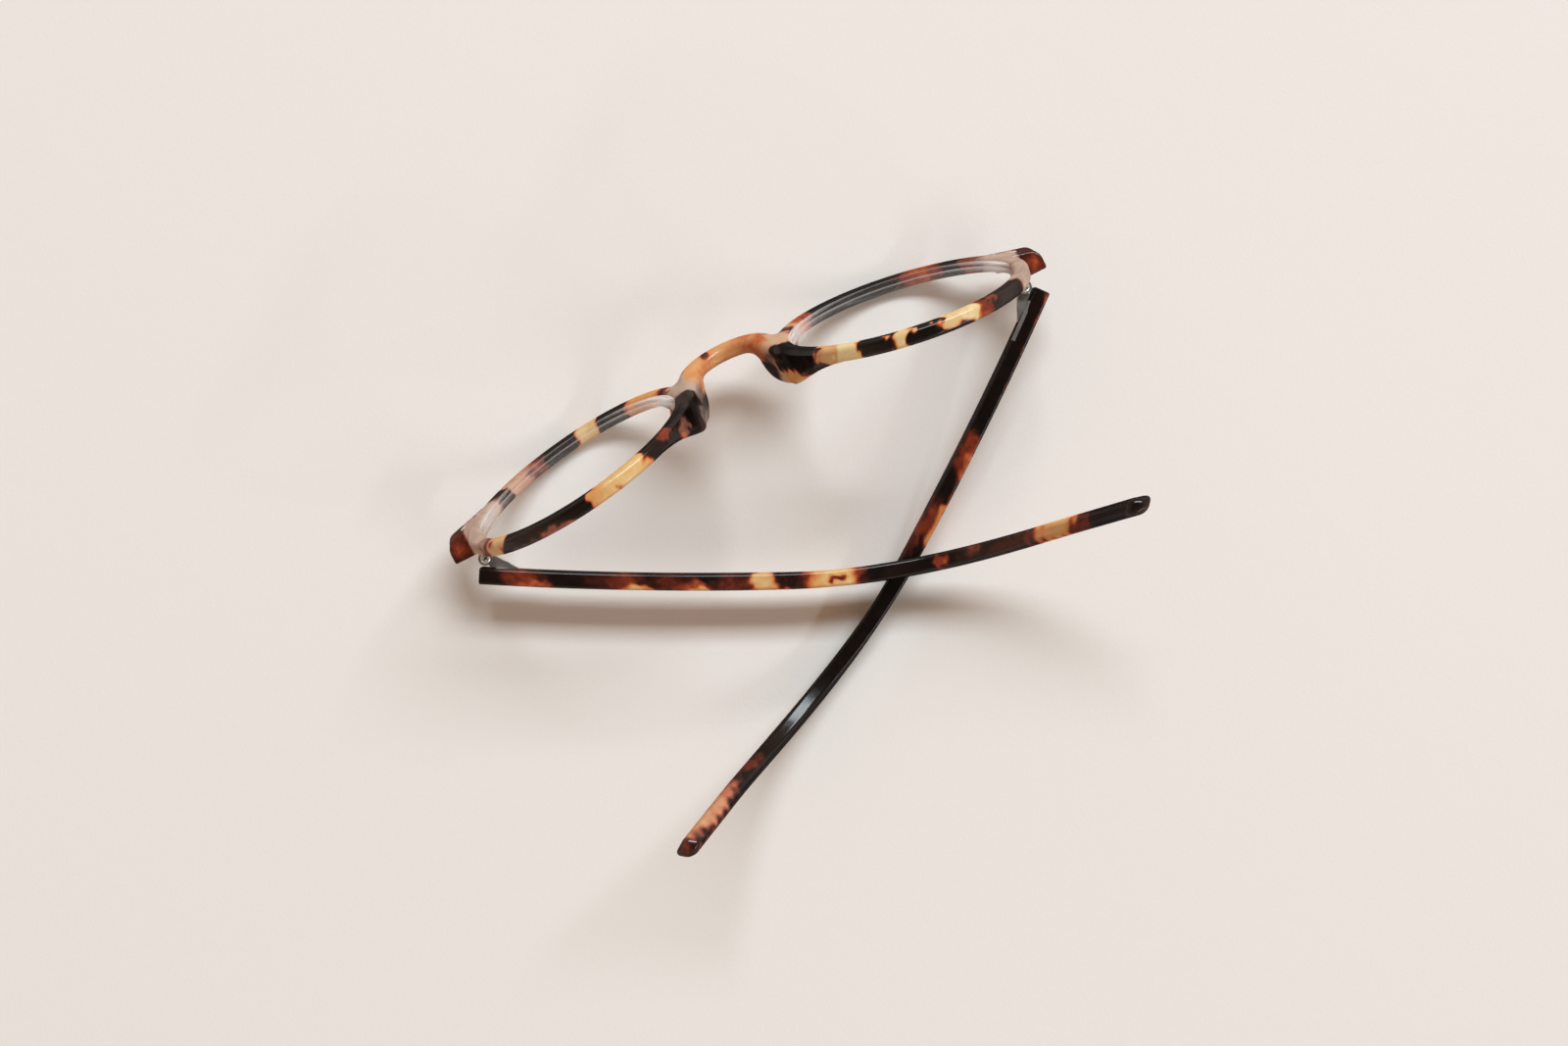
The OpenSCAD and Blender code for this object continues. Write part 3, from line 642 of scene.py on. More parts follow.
class Finish:
    # A material built from nodes
    def __init__(self, name, holder=None):
        self.material = holder or bpy.data.materials.new(name)
        self.material.use_nodes = True
        self.tree = self.material.node_tree
        self.tree.nodes.clear()

    def node(self, kind, settings=None, sockets=None, out=0):
        made = self.tree.nodes.new(kind)
        for key, value in (settings or {}).items():
            if key == "stops":
                ramp = made.color_ramp
                while len(ramp.elements) < len(value):
                    ramp.elements.new(1.0)
                for element, (place, colour) in zip(ramp.elements, value):
                    element.position = place
                    element.color = (*colour, 1.0)
            else:
                setattr(made, key, value)
        for key, value in (sockets or {}).items():
            if isinstance(value, Wire):
                self.tree.links.new(value.socket, made.inputs[key])
            else:
                made.inputs[key].default_value = value
        return Wire(self.tree, made.outputs[out]) if len(made.outputs) else None

    def mix(self, factor, first, second):
        return self.node("ShaderNodeMix", {"data_type": "RGBA"}, {0: factor, 6: first, 7: second}, 2)

    def noise(self, place, scale, detail=2.0, roughness=0.5, warp=0.0):
        return self.node("ShaderNodeTexNoise", None, {
            "Vector": place, "Scale": scale, "Detail": detail, "Roughness": roughness,
            "Distortion": warp}, "Fac")

    def place(self):
        return self.node("ShaderNodeTexCoord", None, None, "Object")

    def bump(self, height, strength, distance):
        return self.node("ShaderNodeBump", None, {"Height": height, "Strength": strength,
                                                  "Distance": distance})

    def done(self, shader):
        world = isinstance(self.material, bpy.types.World)
        kind = "ShaderNodeOutputWorld" if world else "ShaderNodeOutputMaterial"
        self.node(kind, None, {"Surface": shader})
        return self.material


def opaque(colour):
    return (*colour, 1.0)


acetateLook = {
    "stops": [
        (0.00, (0.0035, 0.0022, 0.0020)), (0.18, (0.012, 0.005, 0.004)), (0.30, (0.055, 0.011, 0.007)),
        (0.42, (0.22, 0.035, 0.015)), (0.52, (0.50, 0.115, 0.035)), (0.64, (0.64, 0.26, 0.085)),
        (0.78, (0.66, 0.38, 0.14)), (1.00, (0.78, 0.63, 0.35)),
    ],
    "hazeDark": (0.035, 0.024, 0.020),
    "hazePale": (0.47, 0.36, 0.30),
    "hazeStops": (0.25, 0.62),
    "flow": (260.0, 0.34),  # scale of a pattern and how much it shifts the tone
    "veins": (900.0, 0.12),
    "clouds": (90.0, 0.10),
    "roughness": 0.12,
    "rubbed": (1500.0, 0.08),
    "ripples": (420.0, 0.05),
    "specular": 0.40,
    "grazing": (0.22, 0.66, 0.92),  # where the edges start and stop to deepen, and how far
}


def acetate(name):
    look = acetateLook
    finish = Finish(name)
    place = finish.place()
    tone = finish.node("ShaderNodeAttribute", {"attribute_name": "tone"}, None, "Fac")
    haze = finish.node("ShaderNodeAttribute", {"attribute_name": "haze"}, None, "Fac")
    flow = finish.noise(place, look["flow"][0], 3.0, 0.55, 0.6)
    veins = finish.noise(place, look["veins"][0], 3.0, 0.6, 0.3)
    clouds = finish.noise(place, look["clouds"][0], 2.0)
    worked = tone
    for pattern, (_, amount) in ((flow, look["flow"]), (veins, look["veins"]), (clouds, look["clouds"])):
        worked = worked + (pattern - 0.5) * amount
    body = finish.node("ShaderNodeValToRGB", {"stops": look["stops"]}, {"Fac": worked}, "Color")
    mistStops = list(zip(look["hazeStops"], (look["hazeDark"], look["hazePale"])))
    mist = finish.node("ShaderNodeValToRGB", {"stops": mistStops}, {"Fac": worked}, "Color")
    colour = finish.mix(haze, body, mist)
    rub = finish.noise(place, look["rubbed"][0], 2.0)
    ripples = finish.noise(place, look["ripples"][0], 1.0)
    polished = finish.node("ShaderNodeBsdfPrincipled", None, {
        "Base Color": colour,
        "Roughness": look["roughness"] + rub * look["rubbed"][1],
        "IOR": 1.48,
        "Specular IOR Level": look["specular"],
        "Normal": finish.bump(ripples, look["ripples"][1], 0.0004),
    })
    # The far edges of the acetate stay deep instead of turning pale
    deep = finish.node("ShaderNodeBsdfPrincipled", None, {
        "Base Color": colour, "Roughness": 0.9, "Specular IOR Level": 0.0})
    grazing = finish.node("ShaderNodeLayerWeight", None, {"Blend": 0.5}, "Facing")
    start, stop, most = look["grazing"]
    share = finish.node("ShaderNodeMapRange", {"interpolation_type": "SMOOTHSTEP"}, {
        "Value": grazing, "From Min": start, "From Max": stop, "To Min": 0.0, "To Max": most}, "Result")
    shader = finish.node("ShaderNodeMixShader", None, {0: share, 1: polished, 2: deep})
    return finish.done(shader)


metalLook = {
    "nickel": ((0.52, 0.52, 0.51), 0.22, 1.0),  # colour, roughness and share of metal
    "brightRivet": ((0.80, 0.79, 0.77), 0.12, 0.75),
    "grain": 2600.0,
    "stain": 500.0,
    "stainShade": 0.55,
    "worn": 0.22,  # how much rougher the metal gets with its grain
    # colour of the painted shade in the screw heads' cross recess
    "soot": (0.02, 0.02, 0.02),
}


def metal(name):
    look = metalLook
    colour, roughness, metallic = look[name]
    finish = Finish(name)
    place = finish.place()
    grain = finish.noise(place, look["grain"], 3.0, 0.65)
    stain = finish.noise(place, look["stain"], 2.0)
    dark = tuple(c * look["stainShade"] for c in colour)
    # Painted shade: where this attribute is set, in the screw heads' cross, the metal turns black in
    # place of the shade in the recess
    soot = finish.node("ShaderNodeAttribute", {"attribute_name": "soot"}, None, "Fac")
    worn = finish.mix(stain, opaque(dark), opaque(colour))
    shader = finish.node("ShaderNodeBsdfPrincipled", None, {
        "Base Color": finish.mix(soot, worn, opaque(look["soot"])),
        "Metallic": metallic,
        "Roughness": roughness + grain * look["worn"],
        "Normal": finish.bump(grain, 0.25, 0.00004),
    })
    return finish.done(shader)


def grey(value):
    return (value, value, value)


glassLook = {
    # The cover and tint ramps run over the lens's edge attribute and paint a reflection: a pale band in
    # from the rim, with thin lines in it, a dark line just inside the rim and a pale painted highlight at
    # the rim itself
    "cover": [(0.0, grey(0.0)), (0.30, grey(0.10)), (0.36, grey(0.34)), (0.42, grey(0.16)),
              (0.62, grey(0.50)), (0.80, grey(0.86)), (0.96, grey(0.80)), (1.0, grey(0.9))],
    "tint": [(0.0, (0.84, 0.80, 0.78)), (0.5, (0.78, 0.74, 0.72)), (0.86, (0.76, 0.70, 0.68)),
             (0.90, (0.34, 0.27, 0.33)), (0.94, (0.78, 0.71, 0.69)), (1.0, (0.84, 0.80, 0.78))],
    "clear": 0.005,  # cover of the middle seen straight on
    "mirror": 0.06,
    "smear": (60.0, 0.03),  # scale, and how much rougher it makes the glass
    "roughness": 0.02,
}


def lensGlass(name):
    look = glassLook
    finish = Finish(name)
    place = finish.place()
    facing = finish.node("ShaderNodeLayerWeight", None, {"Blend": 0.25}, "Fresnel")
    smear = finish.noise(place, look["smear"][0], 2.0)
    # Painted reflection: where the edge attribute is set, in a band in from the rim over the lower half
    # of the lens, the glass turns pale and more covering, standing in for the lens's reflection that
    # hides the rim's wall behind it
    rim = finish.node("ShaderNodeAttribute", {"attribute_name": "edge"}, None, "Fac")
    paintedReflection = finish.node("ShaderNodeValToRGB", {"stops": look["cover"]}, {"Fac": rim}, "Color")
    tint = finish.node("ShaderNodeValToRGB", {"stops": look["tint"]}, {"Fac": rim}, "Color")
    shader = finish.node("ShaderNodeBsdfPrincipled", None, {
        "Base Color": tint,
        "Roughness": look["roughness"] + smear * look["smear"][1],
        "IOR": 1.5,
        "Alpha": look["clear"] + facing * look["mirror"] + paintedReflection,
    })
    return finish.done(shader)


paperLook = {
    "dark": (0.800, 0.755, 0.725),
    "pale": (0.815, 0.770, 0.740),
    "fibres": (1400.0, 0.6),  # scale and height
    "cockle": (120.0, 0.8),
    "patches": 4.0,
}


def paper(name):
    look = paperLook
    finish = Finish(name)
    place = finish.place()
    fibres = finish.noise(place, look["fibres"][0], 4.0, 0.7)
    cockle = finish.noise(place, look["cockle"][0], 3.0, 0.6)
    tint = finish.noise(place, look["patches"], 2.0)
    relief = fibres * look["fibres"][1] + cockle * look["cockle"][1]
    shader = finish.node("ShaderNodeBsdfPrincipled", None, {
        "Base Color": finish.mix(tint, opaque(look["dark"]), opaque(look["pale"])),
        "Roughness": 0.9,
        "Specular IOR Level": 0.2,
        "Normal": finish.bump(relief, 0.35, 0.0002),
    })
    return finish.done(shader)


print("stage: materials")
acetateFinish = acetate("tortoiseshell")
padFinish = acetate("padAcetate")
nickelFinish = metal("nickel")
brightFinish = metal("brightRivet")
glassFinish = lensGlass("lensGlass")


def makePiece(name, points, faces, normals, finish, attributes=None):
    mesh = bpy.data.meshes.new(name)
    mesh.from_pydata([tuple(p) for p in points], [], [tuple(f) for f in faces])
    mesh.polygons.foreach_set("use_smooth", [True] * len(mesh.polygons))
    for key, values in (attributes or {}).items():
        layer = mesh.attributes.new(key, "FLOAT", "POINT")
        layer.data.foreach_set("value", np.asarray(values, dtype=np.float32))
    mesh.materials.append(finish)
    mesh.update()
    if normals is not None:
        mesh.normals_split_custom_set_from_vertices([tuple(n) for n in normals])
    made = bpy.data.objects.new(name, mesh)
    bpy.context.scene.collection.objects.link(made)
    return made


def skinPiece(name, field, low, high, pattern, finish):
    points, faces = skin(field, low, high, front["skinStep"])
    # Front and pads are shaded as the one body they make, which hides the joint
    normals = normalsOf(lambda spots: noseField(spots)[0], points)
    tone, haze = pattern(points)
    laid = lay(turn(points, front["tilt"]))
    upright = turn(turn(normals, front["tilt"]), layout["lieTilt"])
    print(name, len(points), "points")
    return makePiece(name, laid, faces, upright, finish, {"tone": tone, "haze": haze})


print("stage: front")
frontPiece = skinPiece("frontAcetate", frontField, front["skinLow"], front["skinHigh"],
                       frontPattern, acetateFinish)
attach(frontPiece, "front")
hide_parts("front_frame")

for hand, side in hands:
    acrossLow, acrossHigh = sorted(side * x for x in pad["skinX"])
    padPiece = skinPiece(hand + "Pad", padSkinField, (acrossLow, pad["skinY"][0], pad["skinZ"][0]),
                         (acrossHigh, pad["skinY"][1], pad["skinZ"][1]), frontPattern, padFinish)
    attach(padPiece, "front")
    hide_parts(hand + "_nose_pad")


print("stage: lenses")
lens = {
    "forward": 0.5,  # how far the lens sits ahead of the rim's middle
    "halfThick": 0.55,
    "gap": 0.02,  # between the lens and the opening
    "tongue": 0.5,  # how far the edge reaches into the rim's groove
    "tongueStep": 0.01,
    "tongueSlope": 0.25,
    "frontCurve": 130.0,
    "backCurve": 170.0,
    "rings": 24,
    "around": 160,
    "reflectionBand": 5.0,  # how wide the band of painted reflection is, in from the opening
    "reflectionRun": 4.0,  # where it fades, above and below the middle
}


def lensRings():
    # Radius and depth of the rings from the middle of the front, round the edge, to the back's middle
    body, rings = front["openingRadius"] - lens["gap"], lens["rings"]
    seat = setback(front["openingRadius"], front["rimCurve"]) + front["rimDepth"] / 2 - lens["forward"]
    half, tongue = lens["halfThick"], front["openingRadius"] + lens["tongue"]
    ahead = seat - half - setback(body, lens["frontCurve"])
    behind = seat + half - setback(body, lens["backCurve"])
    outer = [(body * i / rings, ahead + setback(body * i / rings, lens["frontCurve"]))
             for i in range(rings + 1)]
    inner = [(body * i / rings, behind + setback(body * i / rings, lens["backCurve"]))
             for i in range(rings, -1, -1)]
    step, slope = lens["tongueStep"], lens["tongueSlope"]
    edge = [(body + step, seat - half), (tongue, seat - half + slope), (tongue, seat + half - slope),
            (body + step, seat + half)]
    return outer + edge + inner


def makeLens(hand, side):
    rings, around = lensRings(), lens["around"]
    points, faces, edge = [], [], []
    wrap = math.radians(front["wrap"])
    for radius, depth in rings:
        for i in range(around):
            angle = 2 * math.pi * i / around
            x, z = max(radius, 0.01) * math.cos(angle), max(radius, 0.01) * math.sin(angle)
            points.append((side * (front["lensX"] + x * math.cos(wrap) - depth * math.sin(wrap)),
                           x * math.sin(wrap) + depth * math.cos(wrap) - front["reach"],
                           z + front["lensHeight"]))
            # Painted reflection: the edge attribute grows towards the opening over the lower half of the
            # lens, where the glass is painted pale
            low = 1 - smooth(z, -lens["reflectionRun"], lens["reflectionRun"])
            edge.append(((radius - front["openingRadius"]) / lens["reflectionBand"] + 1) * low)
    for j in range(len(rings) - 1):
        for i in range(around):
            a, b = j * around + i, j * around + (i + 1) % around
            quad = (a, b, b + around, a + around)
            faces.append(quad if side < 0 else quad[::-1])
    last = (len(rings) - 1) * around
    faces.append(tuple(range(around))[::-1 if side < 0 else 1])
    faces.append(tuple(range(last, last + around))[::1 if side < 0 else -1])
    laid = lay(turn(np.array(points), front["tilt"]))
    made = makePiece(hand + "Lens", laid, faces, None, glassFinish, {"edge": np.clip(edge, 0, 1)})
    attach(made, "front")
    made.visible_shadow = False  # clear glass, its shadow is too faint to see
    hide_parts(hand + "_lens")


for hand, side in hands:
    makeLens(hand, side)


print("stage: temples")
temple = {
    "height": 4.96,
    "thickness": 3.36,
    "offset": 3.5,  # middle line outside the hinge axis
    "butt": 1.0,  # how far the butt end lies ahead of the hinge axis
    "straight": 80.5,
    "bendRadius": 39.0,
    "bendAngle": 61.0,
    "tipLength": 17.9,
    "bowStart": 61.0,  # where the inward bow tightens
    "nearBow": 732.0,
    "farBow": 145.0,
    "tipTurn": 26.6,
    "edgeRadius": 0.7,
    "tipRadius": 1.2,
    "tipShrink": 0.10,
    "tipRun": (70.0, 125.0),  # where the section turns into the tip's
    "twistRun": (45.0, 112.0),
    "buttEdge": [(0.0, 0.22, -0.8), (0.06, 0.08, -0.35), (0.22, 0.0, 0.0)],  # place, inset, lean
    "spacing": 0.5,
    "capStart": 0.6,  # how far from its end the tip gets round
    "capReach": 0.5,
    "capFullness": 0.9,
    "capLean": 1.4,
    "capAngles": (0, 8, 16, 24, 32, 40, 48, 56, 63, 70, 76, 81, 85, 88, 89.5),
    "patchEdge": (0.45, 1.5),
    "runWaves": [(1.3, 1.7, 6.0), (0.5, 0.6, 7.0)],
    "acrossWaves": [(0.35, 1.0, 8.0)],
}

# Each temple as it lies: rise about the hinge, fold and twist in degrees, then its pattern
templeSides = {
    "right": {"rise": 2.3, "fold": 59.9, "twist": -12.0, "base": (0.10, 0.0),
              "patches": rightTemplePatches},
    "left": {"rise": -2.4, "fold": 50.3, "twist": -20.0, "base": (0.05, 0.0),
             "patches": leftTemplePatches},
}
flatShares = (0.03, 0.2, 0.35, 0.5, 0.65, 0.8, 0.97)  # points along a flat side of the section


def sidePath(run):
    # Place and heading of the temple's middle line seen from the side
    bend = math.radians(temple["bendAngle"])
    radius, straight = temple["bendRadius"], temple["straight"]
    if run < straight:
        return run, 0.0, 0.0
    if run < straight + radius * bend:
        angle = (run - straight) / radius
        return straight + radius * math.sin(angle), radius * (1 - math.cos(angle)), angle
    rest = run - straight - radius * bend
    return (straight + radius * math.sin(bend) + rest * math.cos(bend),
            radius * (1 - math.cos(bend)) + rest * math.sin(bend), bend)


def topPath(u):
    # Inward bow and heading of the middle line seen from above
    near, far, tip = temple["nearBow"], temple["farBow"], math.radians(temple["tipTurn"])
    nearTurn = temple["bowStart"] / near
    nearU, nearB = near * math.sin(nearTurn), near * (1 - math.cos(nearTurn))
    if u <= nearU:
        return near - math.sqrt(near * near - u * u), math.asin(u / near)
    farU = nearU + far * (math.sin(tip) - math.sin(nearTurn))
    if u <= farU:
        heading = math.asin((u - nearU) / far + math.sin(nearTurn))
        return nearB + far * (math.cos(nearTurn) - math.cos(heading)), heading
    return nearB + far * (math.cos(nearTurn) - math.cos(tip)) + (u - farU) * math.tan(tip), tip


def sectionOutline(halfV, halfW, radius):
    # Points and normals round a bar's section: up the outer face, over the top, down the inner face
    outline = []
    corners = [(1, 1, 0), (1, -1, 90), (-1, -1, 180), (-1, 1, 270)]
    for (signV, signW, start), (nextV, nextW, _) in zip(corners, corners[1:] + corners[:1]):
        middle = (signV * (halfV - radius), signW * (halfW - radius))
        nextMiddle = (nextV * (halfV - radius), nextW * (halfW - radius))
        for i in range(6):
            angle = math.radians(start + 90 * i / 5)
            normal = (math.sin(angle), math.cos(angle))
            outline.append((middle[0] + radius * normal[0], middle[1] + radius * normal[1], *normal))
        # Flat to the next corner, with points close to both ends
        for share in flatShares:
            place = [a + (b - a) * share + radius * n for a, b, n in zip(middle, nextMiddle, normal)]
            outline.append((*place, *normal))
    return outline


def templePoint(run, v, w):
    u, z, angle = sidePath(run)
    u, z = u - v * math.sin(angle), z + v * math.cos(angle)
    bow, heading = topPath(max(u, 0.0))
    return (temple["offset"] - bow + w / math.cos(heading), u - temple["butt"], z)


def placeTemple(points, rise, fold):
    # Rise about the hinge, then fold
    a, f = math.radians(rise), math.radians(fold)
    x, y, z = points[:, 0], points[:, 1], points[:, 2]
    y, z = y * math.cos(a) - z * math.sin(a), y * math.sin(a) + z * math.cos(a)
    x, y = x * math.cos(f) - y * math.sin(f), x * math.sin(f) + y * math.cos(f)
    return np.stack([x, y, z], axis=1)


def templeStations():
    # Place, inset, angle round the tip's end and lean of the normals, from the butt to the tip
    length = (temple["straight"] + temple["bendRadius"] * math.radians(temple["bendAngle"])
              + temple["tipLength"])
    cap = temple["capStart"]
    stations = [(place, inset, 0.0, lean) for place, inset, lean in temple["buttEdge"]]
    stations += [(run, 0.0, 0.0, 0.0) for run in np.arange(cap, length - cap, temple["spacing"])]
    for degrees in temple["capAngles"]:
        angle = math.radians(degrees)
        stations.append((length - cap, 0.0, angle, temple["capLean"] * math.sin(angle)))
    return stations


def templeRing(station, twist):
    # Points, normals and places along and across of one section
    place, inset, cap, lean = station
    halfV, halfW = temple["height"] / 2, temple["thickness"] / 2
    along = place + (halfV + temple["capReach"]) * math.sin(cap)
    tip = smooth(along, *temple["tipRun"])
    shrink = 1 - temple["tipShrink"] * tip
    tall = (halfV - inset) / halfV * math.cos(cap) * shrink
    wide = (halfW - inset) / halfW * math.cos(cap) ** temple["capFullness"] * shrink
    radius = temple["edgeRadius"] + (temple["tipRadius"] - temple["edgeRadius"]) * tip
    roll = math.radians(twist * smooth(along, *temple["twistRun"]))
    step = 0.05
    before = along - step if along > 2 * step else along
    ahead = np.array(templePoint(along + step, 0, 0)) - np.array(templePoint(before, 0, 0))
    ahead = ahead / np.linalg.norm(ahead)
    points, normals, across = [], [], []
    for v, w, flatV, flatW in sectionOutline(halfV, halfW, radius):
        deepV = v * tall * math.cos(roll) - w * wide * math.sin(roll)
        deepW = v * tall * math.sin(roll) + w * wide * math.cos(roll)
        normalV = flatV * math.cos(roll) - flatW * math.sin(roll)
        normalW = flatV * math.sin(roll) + flatW * math.cos(roll)
        here = np.array(templePoint(along, deepV, deepW))
        up = np.array(templePoint(along, deepV + step, deepW)) - here
        out = np.array(templePoint(along, deepV, deepW + step)) - here
        flat = normalV * up / np.linalg.norm(up) + normalW * out / np.linalg.norm(out)
        normal = flat * max(math.cos(cap), 0.05) + ahead * lean
        points.append(here)
        normals.append(normal / np.linalg.norm(normal))
        across.append(w * wide / halfW)
    return points, normals, [along] * len(points), across


def makeTemple(hand, side):
    look = templeSides[hand]
    points, normals, run, across = [], [], [], []
    stations = templeStations()
    for station in stations:
        for row, more in zip((points, normals, run, across), templeRing(station, look["twist"])):
            row += more
    count = len(points) // len(stations)
    faces = []
    for j in range(len(stations) - 1):
        for i in range(count):
            a, b = j * count + i, j * count + (i + 1) % count
            faces.append((a, b, b + count, a + count))
    # The butt is sawn square, so it has points of its own
    start = len(points)
    points += points[:count]
    normals += [np.array([0.0, -1.0, 0.0])] * count
    run += run[:count]
    across += across[:count]
    faces.append(tuple(range(start, start + count))[::-1])
    faces.append(tuple(range(start - count, start)))
    spots = np.array(points) * side
    tone, haze = paintPatches(np.array(run) + waver(spots, temple["runWaves"]),
                              np.array(across) + waver(spots, temple["acrossWaves"]),
                              look["patches"], look["base"], temple["patchEdge"])
    placed = placeTemple(np.array(points), look["rise"], look["fold"])
    facing = placeTemple(np.array(normals), look["rise"], look["fold"])
    placed[:, 0] += layout["hingeX"]
    placed[:, 0] *= side
    facing[:, 0] *= side
    if side > 0:
        faces = [face[::-1] for face in faces]
    made = makePiece(hand + "TempleAcetate", lay(placed), faces, turn(facing, layout["lieTilt"]),
                     acetateFinish, {"tone": tone, "haze": haze})
    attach(made, hand + "_arm")
    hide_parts(hand + "_temple")


for hand, side in hands:
    makeTemple(hand, side)


print("stage: metal")
leafEnd = {
    "across": 57.1,  # where the inner end lies, from the middle of the glasses
}
softEdge = {"width": 0.00012, "segments": 2, "angle": 35}


def finishMetal(piece, finish):
    piece.data.materials.clear()
    piece.data.materials.append(finish)
    edge = piece.modifiers.new("softEdge", "BEVEL")
    edge.width = softEdge["width"]
    edge.segments = softEdge["segments"]
    edge.limit_method = "ANGLE"
    edge.angle_limit = math.radians(softEdge["angle"])


def makeFrontLeaf(hand, side):
    # The leaf's inner end is trimmed, so that nothing stands out behind the rim
    node = hand + "_front_leaf"
    place = lay(np.array([side * leafEnd["across"], 0.0, 0.0]))
    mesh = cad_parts[node].data.copy()
    mesh.name = hand + "FrontLeaf"
    shape = bmesh.new()
    shape.from_mesh(mesh)
    bmesh.ops.remove_doubles(shape, verts=shape.verts[:], dist=1e-7)
    cut = bmesh.ops.bisect_plane(shape, geom=shape.verts[:] + shape.edges[:] + shape.faces[:],
                                 plane_co=place, plane_no=(-side, 0.0, 0.0), clear_outer=True)
    rim = [part for part in cut["geom_cut"] if isinstance(part, bmesh.types.BMEdge)]
    bmesh.ops.triangle_fill(shape, edges=rim, use_beauty=True)
    bmesh.ops.recalc_face_normals(shape, faces=shape.faces[:])
    shape.to_mesh(mesh)
    shape.free()
    made = bpy.data.objects.new(mesh.name, mesh)
    bpy.context.scene.collection.objects.link(made)
    finishMetal(made, nickelFinish)
    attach(made, "front")
    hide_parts(node)


for name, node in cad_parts.items():
    if "leaf" in name or "screw" in name or "rivet" in name:
        bright = "front_rivet" in name or "screw" in name
        finishMetal(node, brightFinish if bright else nickelFinish)
for hand, side in hands:
    makeFrontLeaf(hand, side)


screwHead = {
    "radius": 0.98,
    "level": 2.46,  # height of the head's edge above the barrel's middle
    "dome": 0.24,
    "crossLength": 0.66,
    "crossWidth": 0.15,
    "crossDepth": 0.34,
    "crossEdge": (-0.07, 0.05),  # from the floor to the rim of the cross
    "crossRise": 0.4,  # how much shallower the cross gets at its ends
    "domePower": 2.6,
    # Painted shade: how dark the cross recess is painted
    "soot": 0.92,  # how black the cross is
    "turned": 28.0,  # how far the cross is turned, degrees
    "rings": 30,
    "spokes": 112,
}


def screwHeight(x, y):
    radial = np.hypot(x, y) / screwHead["radius"]
    high = screwHead["dome"] * (1 - radial ** screwHead["domePower"])
    turned = math.radians(screwHead["turned"])
    u = np.abs(x * math.cos(turned) + y * math.sin(turned))
    v = np.abs(y * math.cos(turned) - x * math.sin(turned))
    arm = np.minimum(np.maximum(u - screwHead["crossLength"], v - screwHead["crossWidth"]),
                     np.maximum(v - screwHead["crossLength"], u - screwHead["crossWidth"]))
    sunk = 1 - smooth(arm, *screwHead["crossEdge"])
    high = high - screwHead["crossDepth"] * sunk * (1 - screwHead["crossRise"] * radial)
    # The cross's mask, times its darkness, also comes back as the painted shade of its recess
    return high, sunk * screwHead["soot"]


def roundPlate(radius, rings, spokes):
    # Places of a disc's points, its middle last, and the faces between them
    ring = radius * np.repeat(np.arange(1, rings + 1) / rings, spokes)
    angle = np.tile(np.arange(spokes) * 2 * math.pi / spokes, rings)
    faces = [(rings * spokes, i, (i + 1) % spokes) for i in range(spokes)]
    for j in range(rings - 1):
        for i in range(spokes):
            a, b = j * spokes + i, j * spokes + (i + 1) % spokes
            faces.append((a, a + spokes, b + spokes, b))
    return np.append(ring * np.cos(angle), 0.0), np.append(ring * np.sin(angle), 0.0), faces


def makeHead(name, look, height, base, axes):
    # A turned head: its face rises over the plane through base, along the last axis
    step = 0.01
    x, y, faces = roundPlate(look["radius"], look["rings"], look["spokes"])
    high, soot = height(x, y)
    slopeX = (height(x + step, y)[0] - high) / step
    slopeY = (height(x, y + step)[0] - high) / step
    points = base + x[:, None] * axes[0] + y[:, None] * axes[1] + high[:, None] * axes[2]
    normals = axes[2] - slopeX[:, None] * axes[0] - slopeY[:, None] * axes[1]
    normals /= np.linalg.norm(normals, axis=1)[:, None]
    made = makePiece(name, lay(points), faces, turn(normals, layout["lieTilt"]), brightFinish,
                     {"soot": soot})
    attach(made, "front")
    return made


rivetHead = {
    "radius": 0.78,
    "dome": 0.30,
    "domePower": 2.4,
    "sunk": 0.06,
    "searchFrom": -19.0,  # well ahead of the front, where the search for its skin starts
    "searchPoints": 900,
    "rings": 12,
    "spokes": 48,
}


def rivetHeight(x, y):
    radial = np.hypot(x, y) / rivetHead["radius"]
    return rivetHead["dome"] * (1 - radial ** rivetHead["domePower"]) - rivetHead["sunk"], 0 * x


def makeRivetHead(hand):
    # The head sits on the endpiece's rounded skin, where the shank comes out
    node = hand + "_front_rivet_outer"
    middle = np.mean(np.array(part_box(node)), axis=0) * 1000.0
    middle = turn(middle[None, :], -layout["lieTilt"])[0] + saddle
    line = np.repeat(middle[None, :], rivetHead["searchPoints"], axis=0)
    line[:, 1] = np.linspace(rivetHead["searchFrom"], middle[1], rivetHead["searchPoints"])
    inside = frontField(turn(line, -front["tilt"])) < 0
    seat = line[np.argmax(inside)]
    outward = gradientAt(frontField, turn(seat[None, :], -front["tilt"]))
    outward = turn(outward, front["tilt"])[0]
    outward /= np.linalg.norm(outward)
    across = np.cross(outward, (0.0, 0.0, 1.0))
    across /= np.linalg.norm(across)
    axes = (across, np.cross(outward, across), outward)
    made = makeHead(hand + "OuterRivetHead", rivetHead, rivetHeight, seat, axes)
    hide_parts(node)


for hand, side in hands:
    hinge = np.array([side * layout["hingeX"], 0.0, screwHead["level"]])
    makeHead(hand + "ScrewHead", screwHead, screwHeight, hinge, np.eye(3))
    makeRivetHead(hand)


print("stage: surroundings")
table = {"size": 4.0, "level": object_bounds()[0][2]}
half = table["size"] / 2
floorMesh = bpy.data.meshes.new("floor")
floorMesh.from_pydata([(-half, -half, 0), (half, -half, 0), (half, half, 0), (-half, half, 0)], [],
                      [(0, 1, 2, 3)])
floorMesh.materials.append(paper("paper"))
floorPiece = bpy.data.objects.new("floor", floorMesh)
floorPiece.location = (0, 0, table["level"])
bpy.context.scene.collection.objects.link(floorPiece)

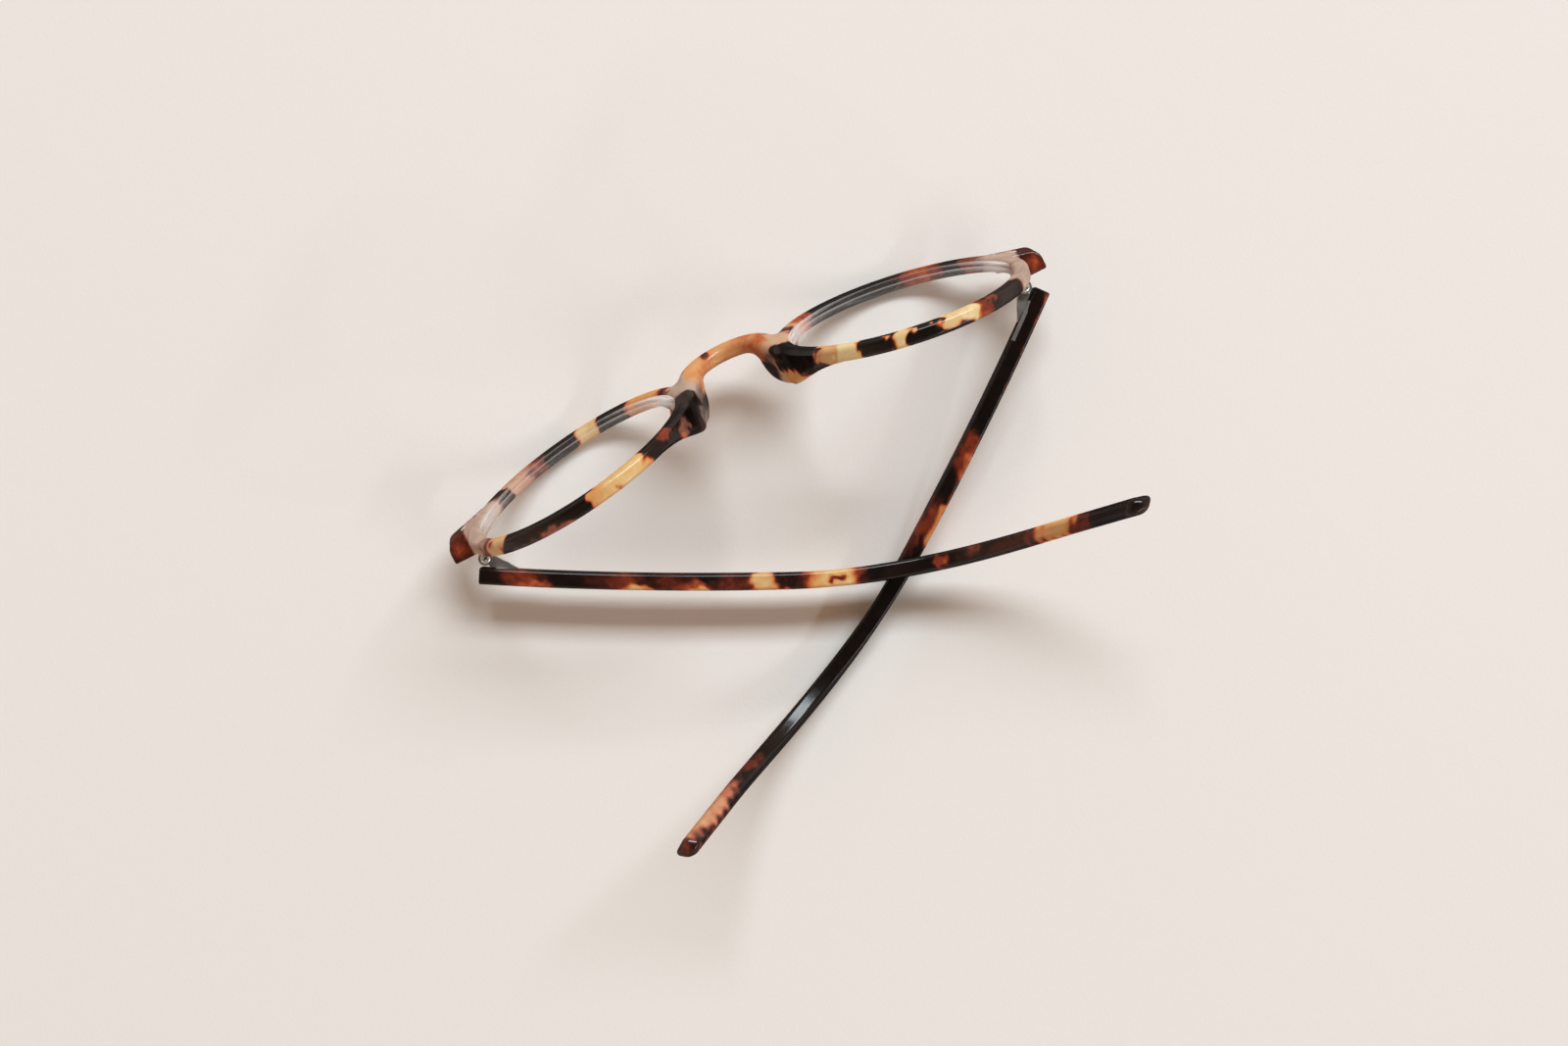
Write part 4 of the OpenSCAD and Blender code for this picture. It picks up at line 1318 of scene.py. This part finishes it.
light = {
    "window": {"towards": (-0.503, -0.441, 0.85), "along": (-0.893, 0.451, 0.0), "distance": 4.5,
               "length": 4.0, "width": 1.12, "power": 216.0},
    "farWindow": {"towards": (-0.52, 0.857, 0.62), "along": (0.857, 0.52, 0.0), "distance": 3.0,
                  "length": 1.8, "width": 0.16, "power": 15.0},
    "colour": (0.81, 0.915, 0.965),
    "sky": (1.0, 0.70, 0.49),
    "skyRise": (0.45, 0.97),  # between the walls and the ceiling
    "sideStrength": 0.60,
    "ceilingStrength": 0.12,
    "backdrop": (0.80, 0.75, 0.71),
}


def addWindow(name):
    # A long lamp, its long way lying level
    window = light[name]
    lamp = bpy.data.lights.new(name, "AREA")
    lamp.shape = "RECTANGLE"
    lamp.size = window["length"]
    lamp.size_y = window["width"]
    lamp.energy = window["power"]
    lamp.color = light["colour"]
    towards = Vector(window["towards"]).normalized()
    across = towards.cross(Vector(window["along"])).normalized()
    holder = bpy.data.objects.new(name, lamp)
    holder.location = towards * window["distance"]
    holder.rotation_euler = Matrix((across.cross(towards), across, towards)).transposed().to_euler()
    bpy.context.scene.collection.objects.link(holder)


addWindow("window")
addWindow("farWindow")

room = Finish("room", bpy.data.worlds.new("room"))
heading = room.node("ShaderNodeTexCoord", None, None, "Generated")
upward = room.node("ShaderNodeSeparateXYZ", None, {"Vector": heading}, "Z")
brightness = room.node("ShaderNodeMapRange", {"interpolation_type": "SMOOTHSTEP"}, {
    "Value": upward, "From Min": light["skyRise"][0], "From Max": light["skyRise"][1],
    "To Min": light["sideStrength"], "To Max": light["ceilingStrength"]}, "Result")
sky = room.node("ShaderNodeBackground", None, {"Color": opaque(light["sky"]), "Strength": brightness})
backdrop = room.node("ShaderNodeBackground", None, {"Color": opaque(light["backdrop"]), "Strength": 1.0})
seen = room.node("ShaderNodeLightPath", None, None, "Is Camera Ray")
room.done(room.node("ShaderNodeMixShader", None, {0: seen, 1: sky, 2: backdrop}))
bpy.context.scene.world = room.material

view = {
    "place": (0.013479, 0.047084, 0.428864),
    "turn": (2.01387, -0.39540, 153.21189),
    "lens": 50.0,
    "sensor": 36.0,
}
camera = bpy.data.cameras.new("camera")
camera.lens = view["lens"]
camera.sensor_width = view["sensor"]
camera.clip_start = 0.01
holder = bpy.data.objects.new("camera", camera)
holder.location = view["place"]
holder.rotation_euler = [math.radians(angle) for angle in view["turn"]]
bpy.context.scene.collection.objects.link(holder)
bpy.context.scene.camera = holder
bpy.context.scene.view_settings.view_transform = "Standard"

print("stage: done")
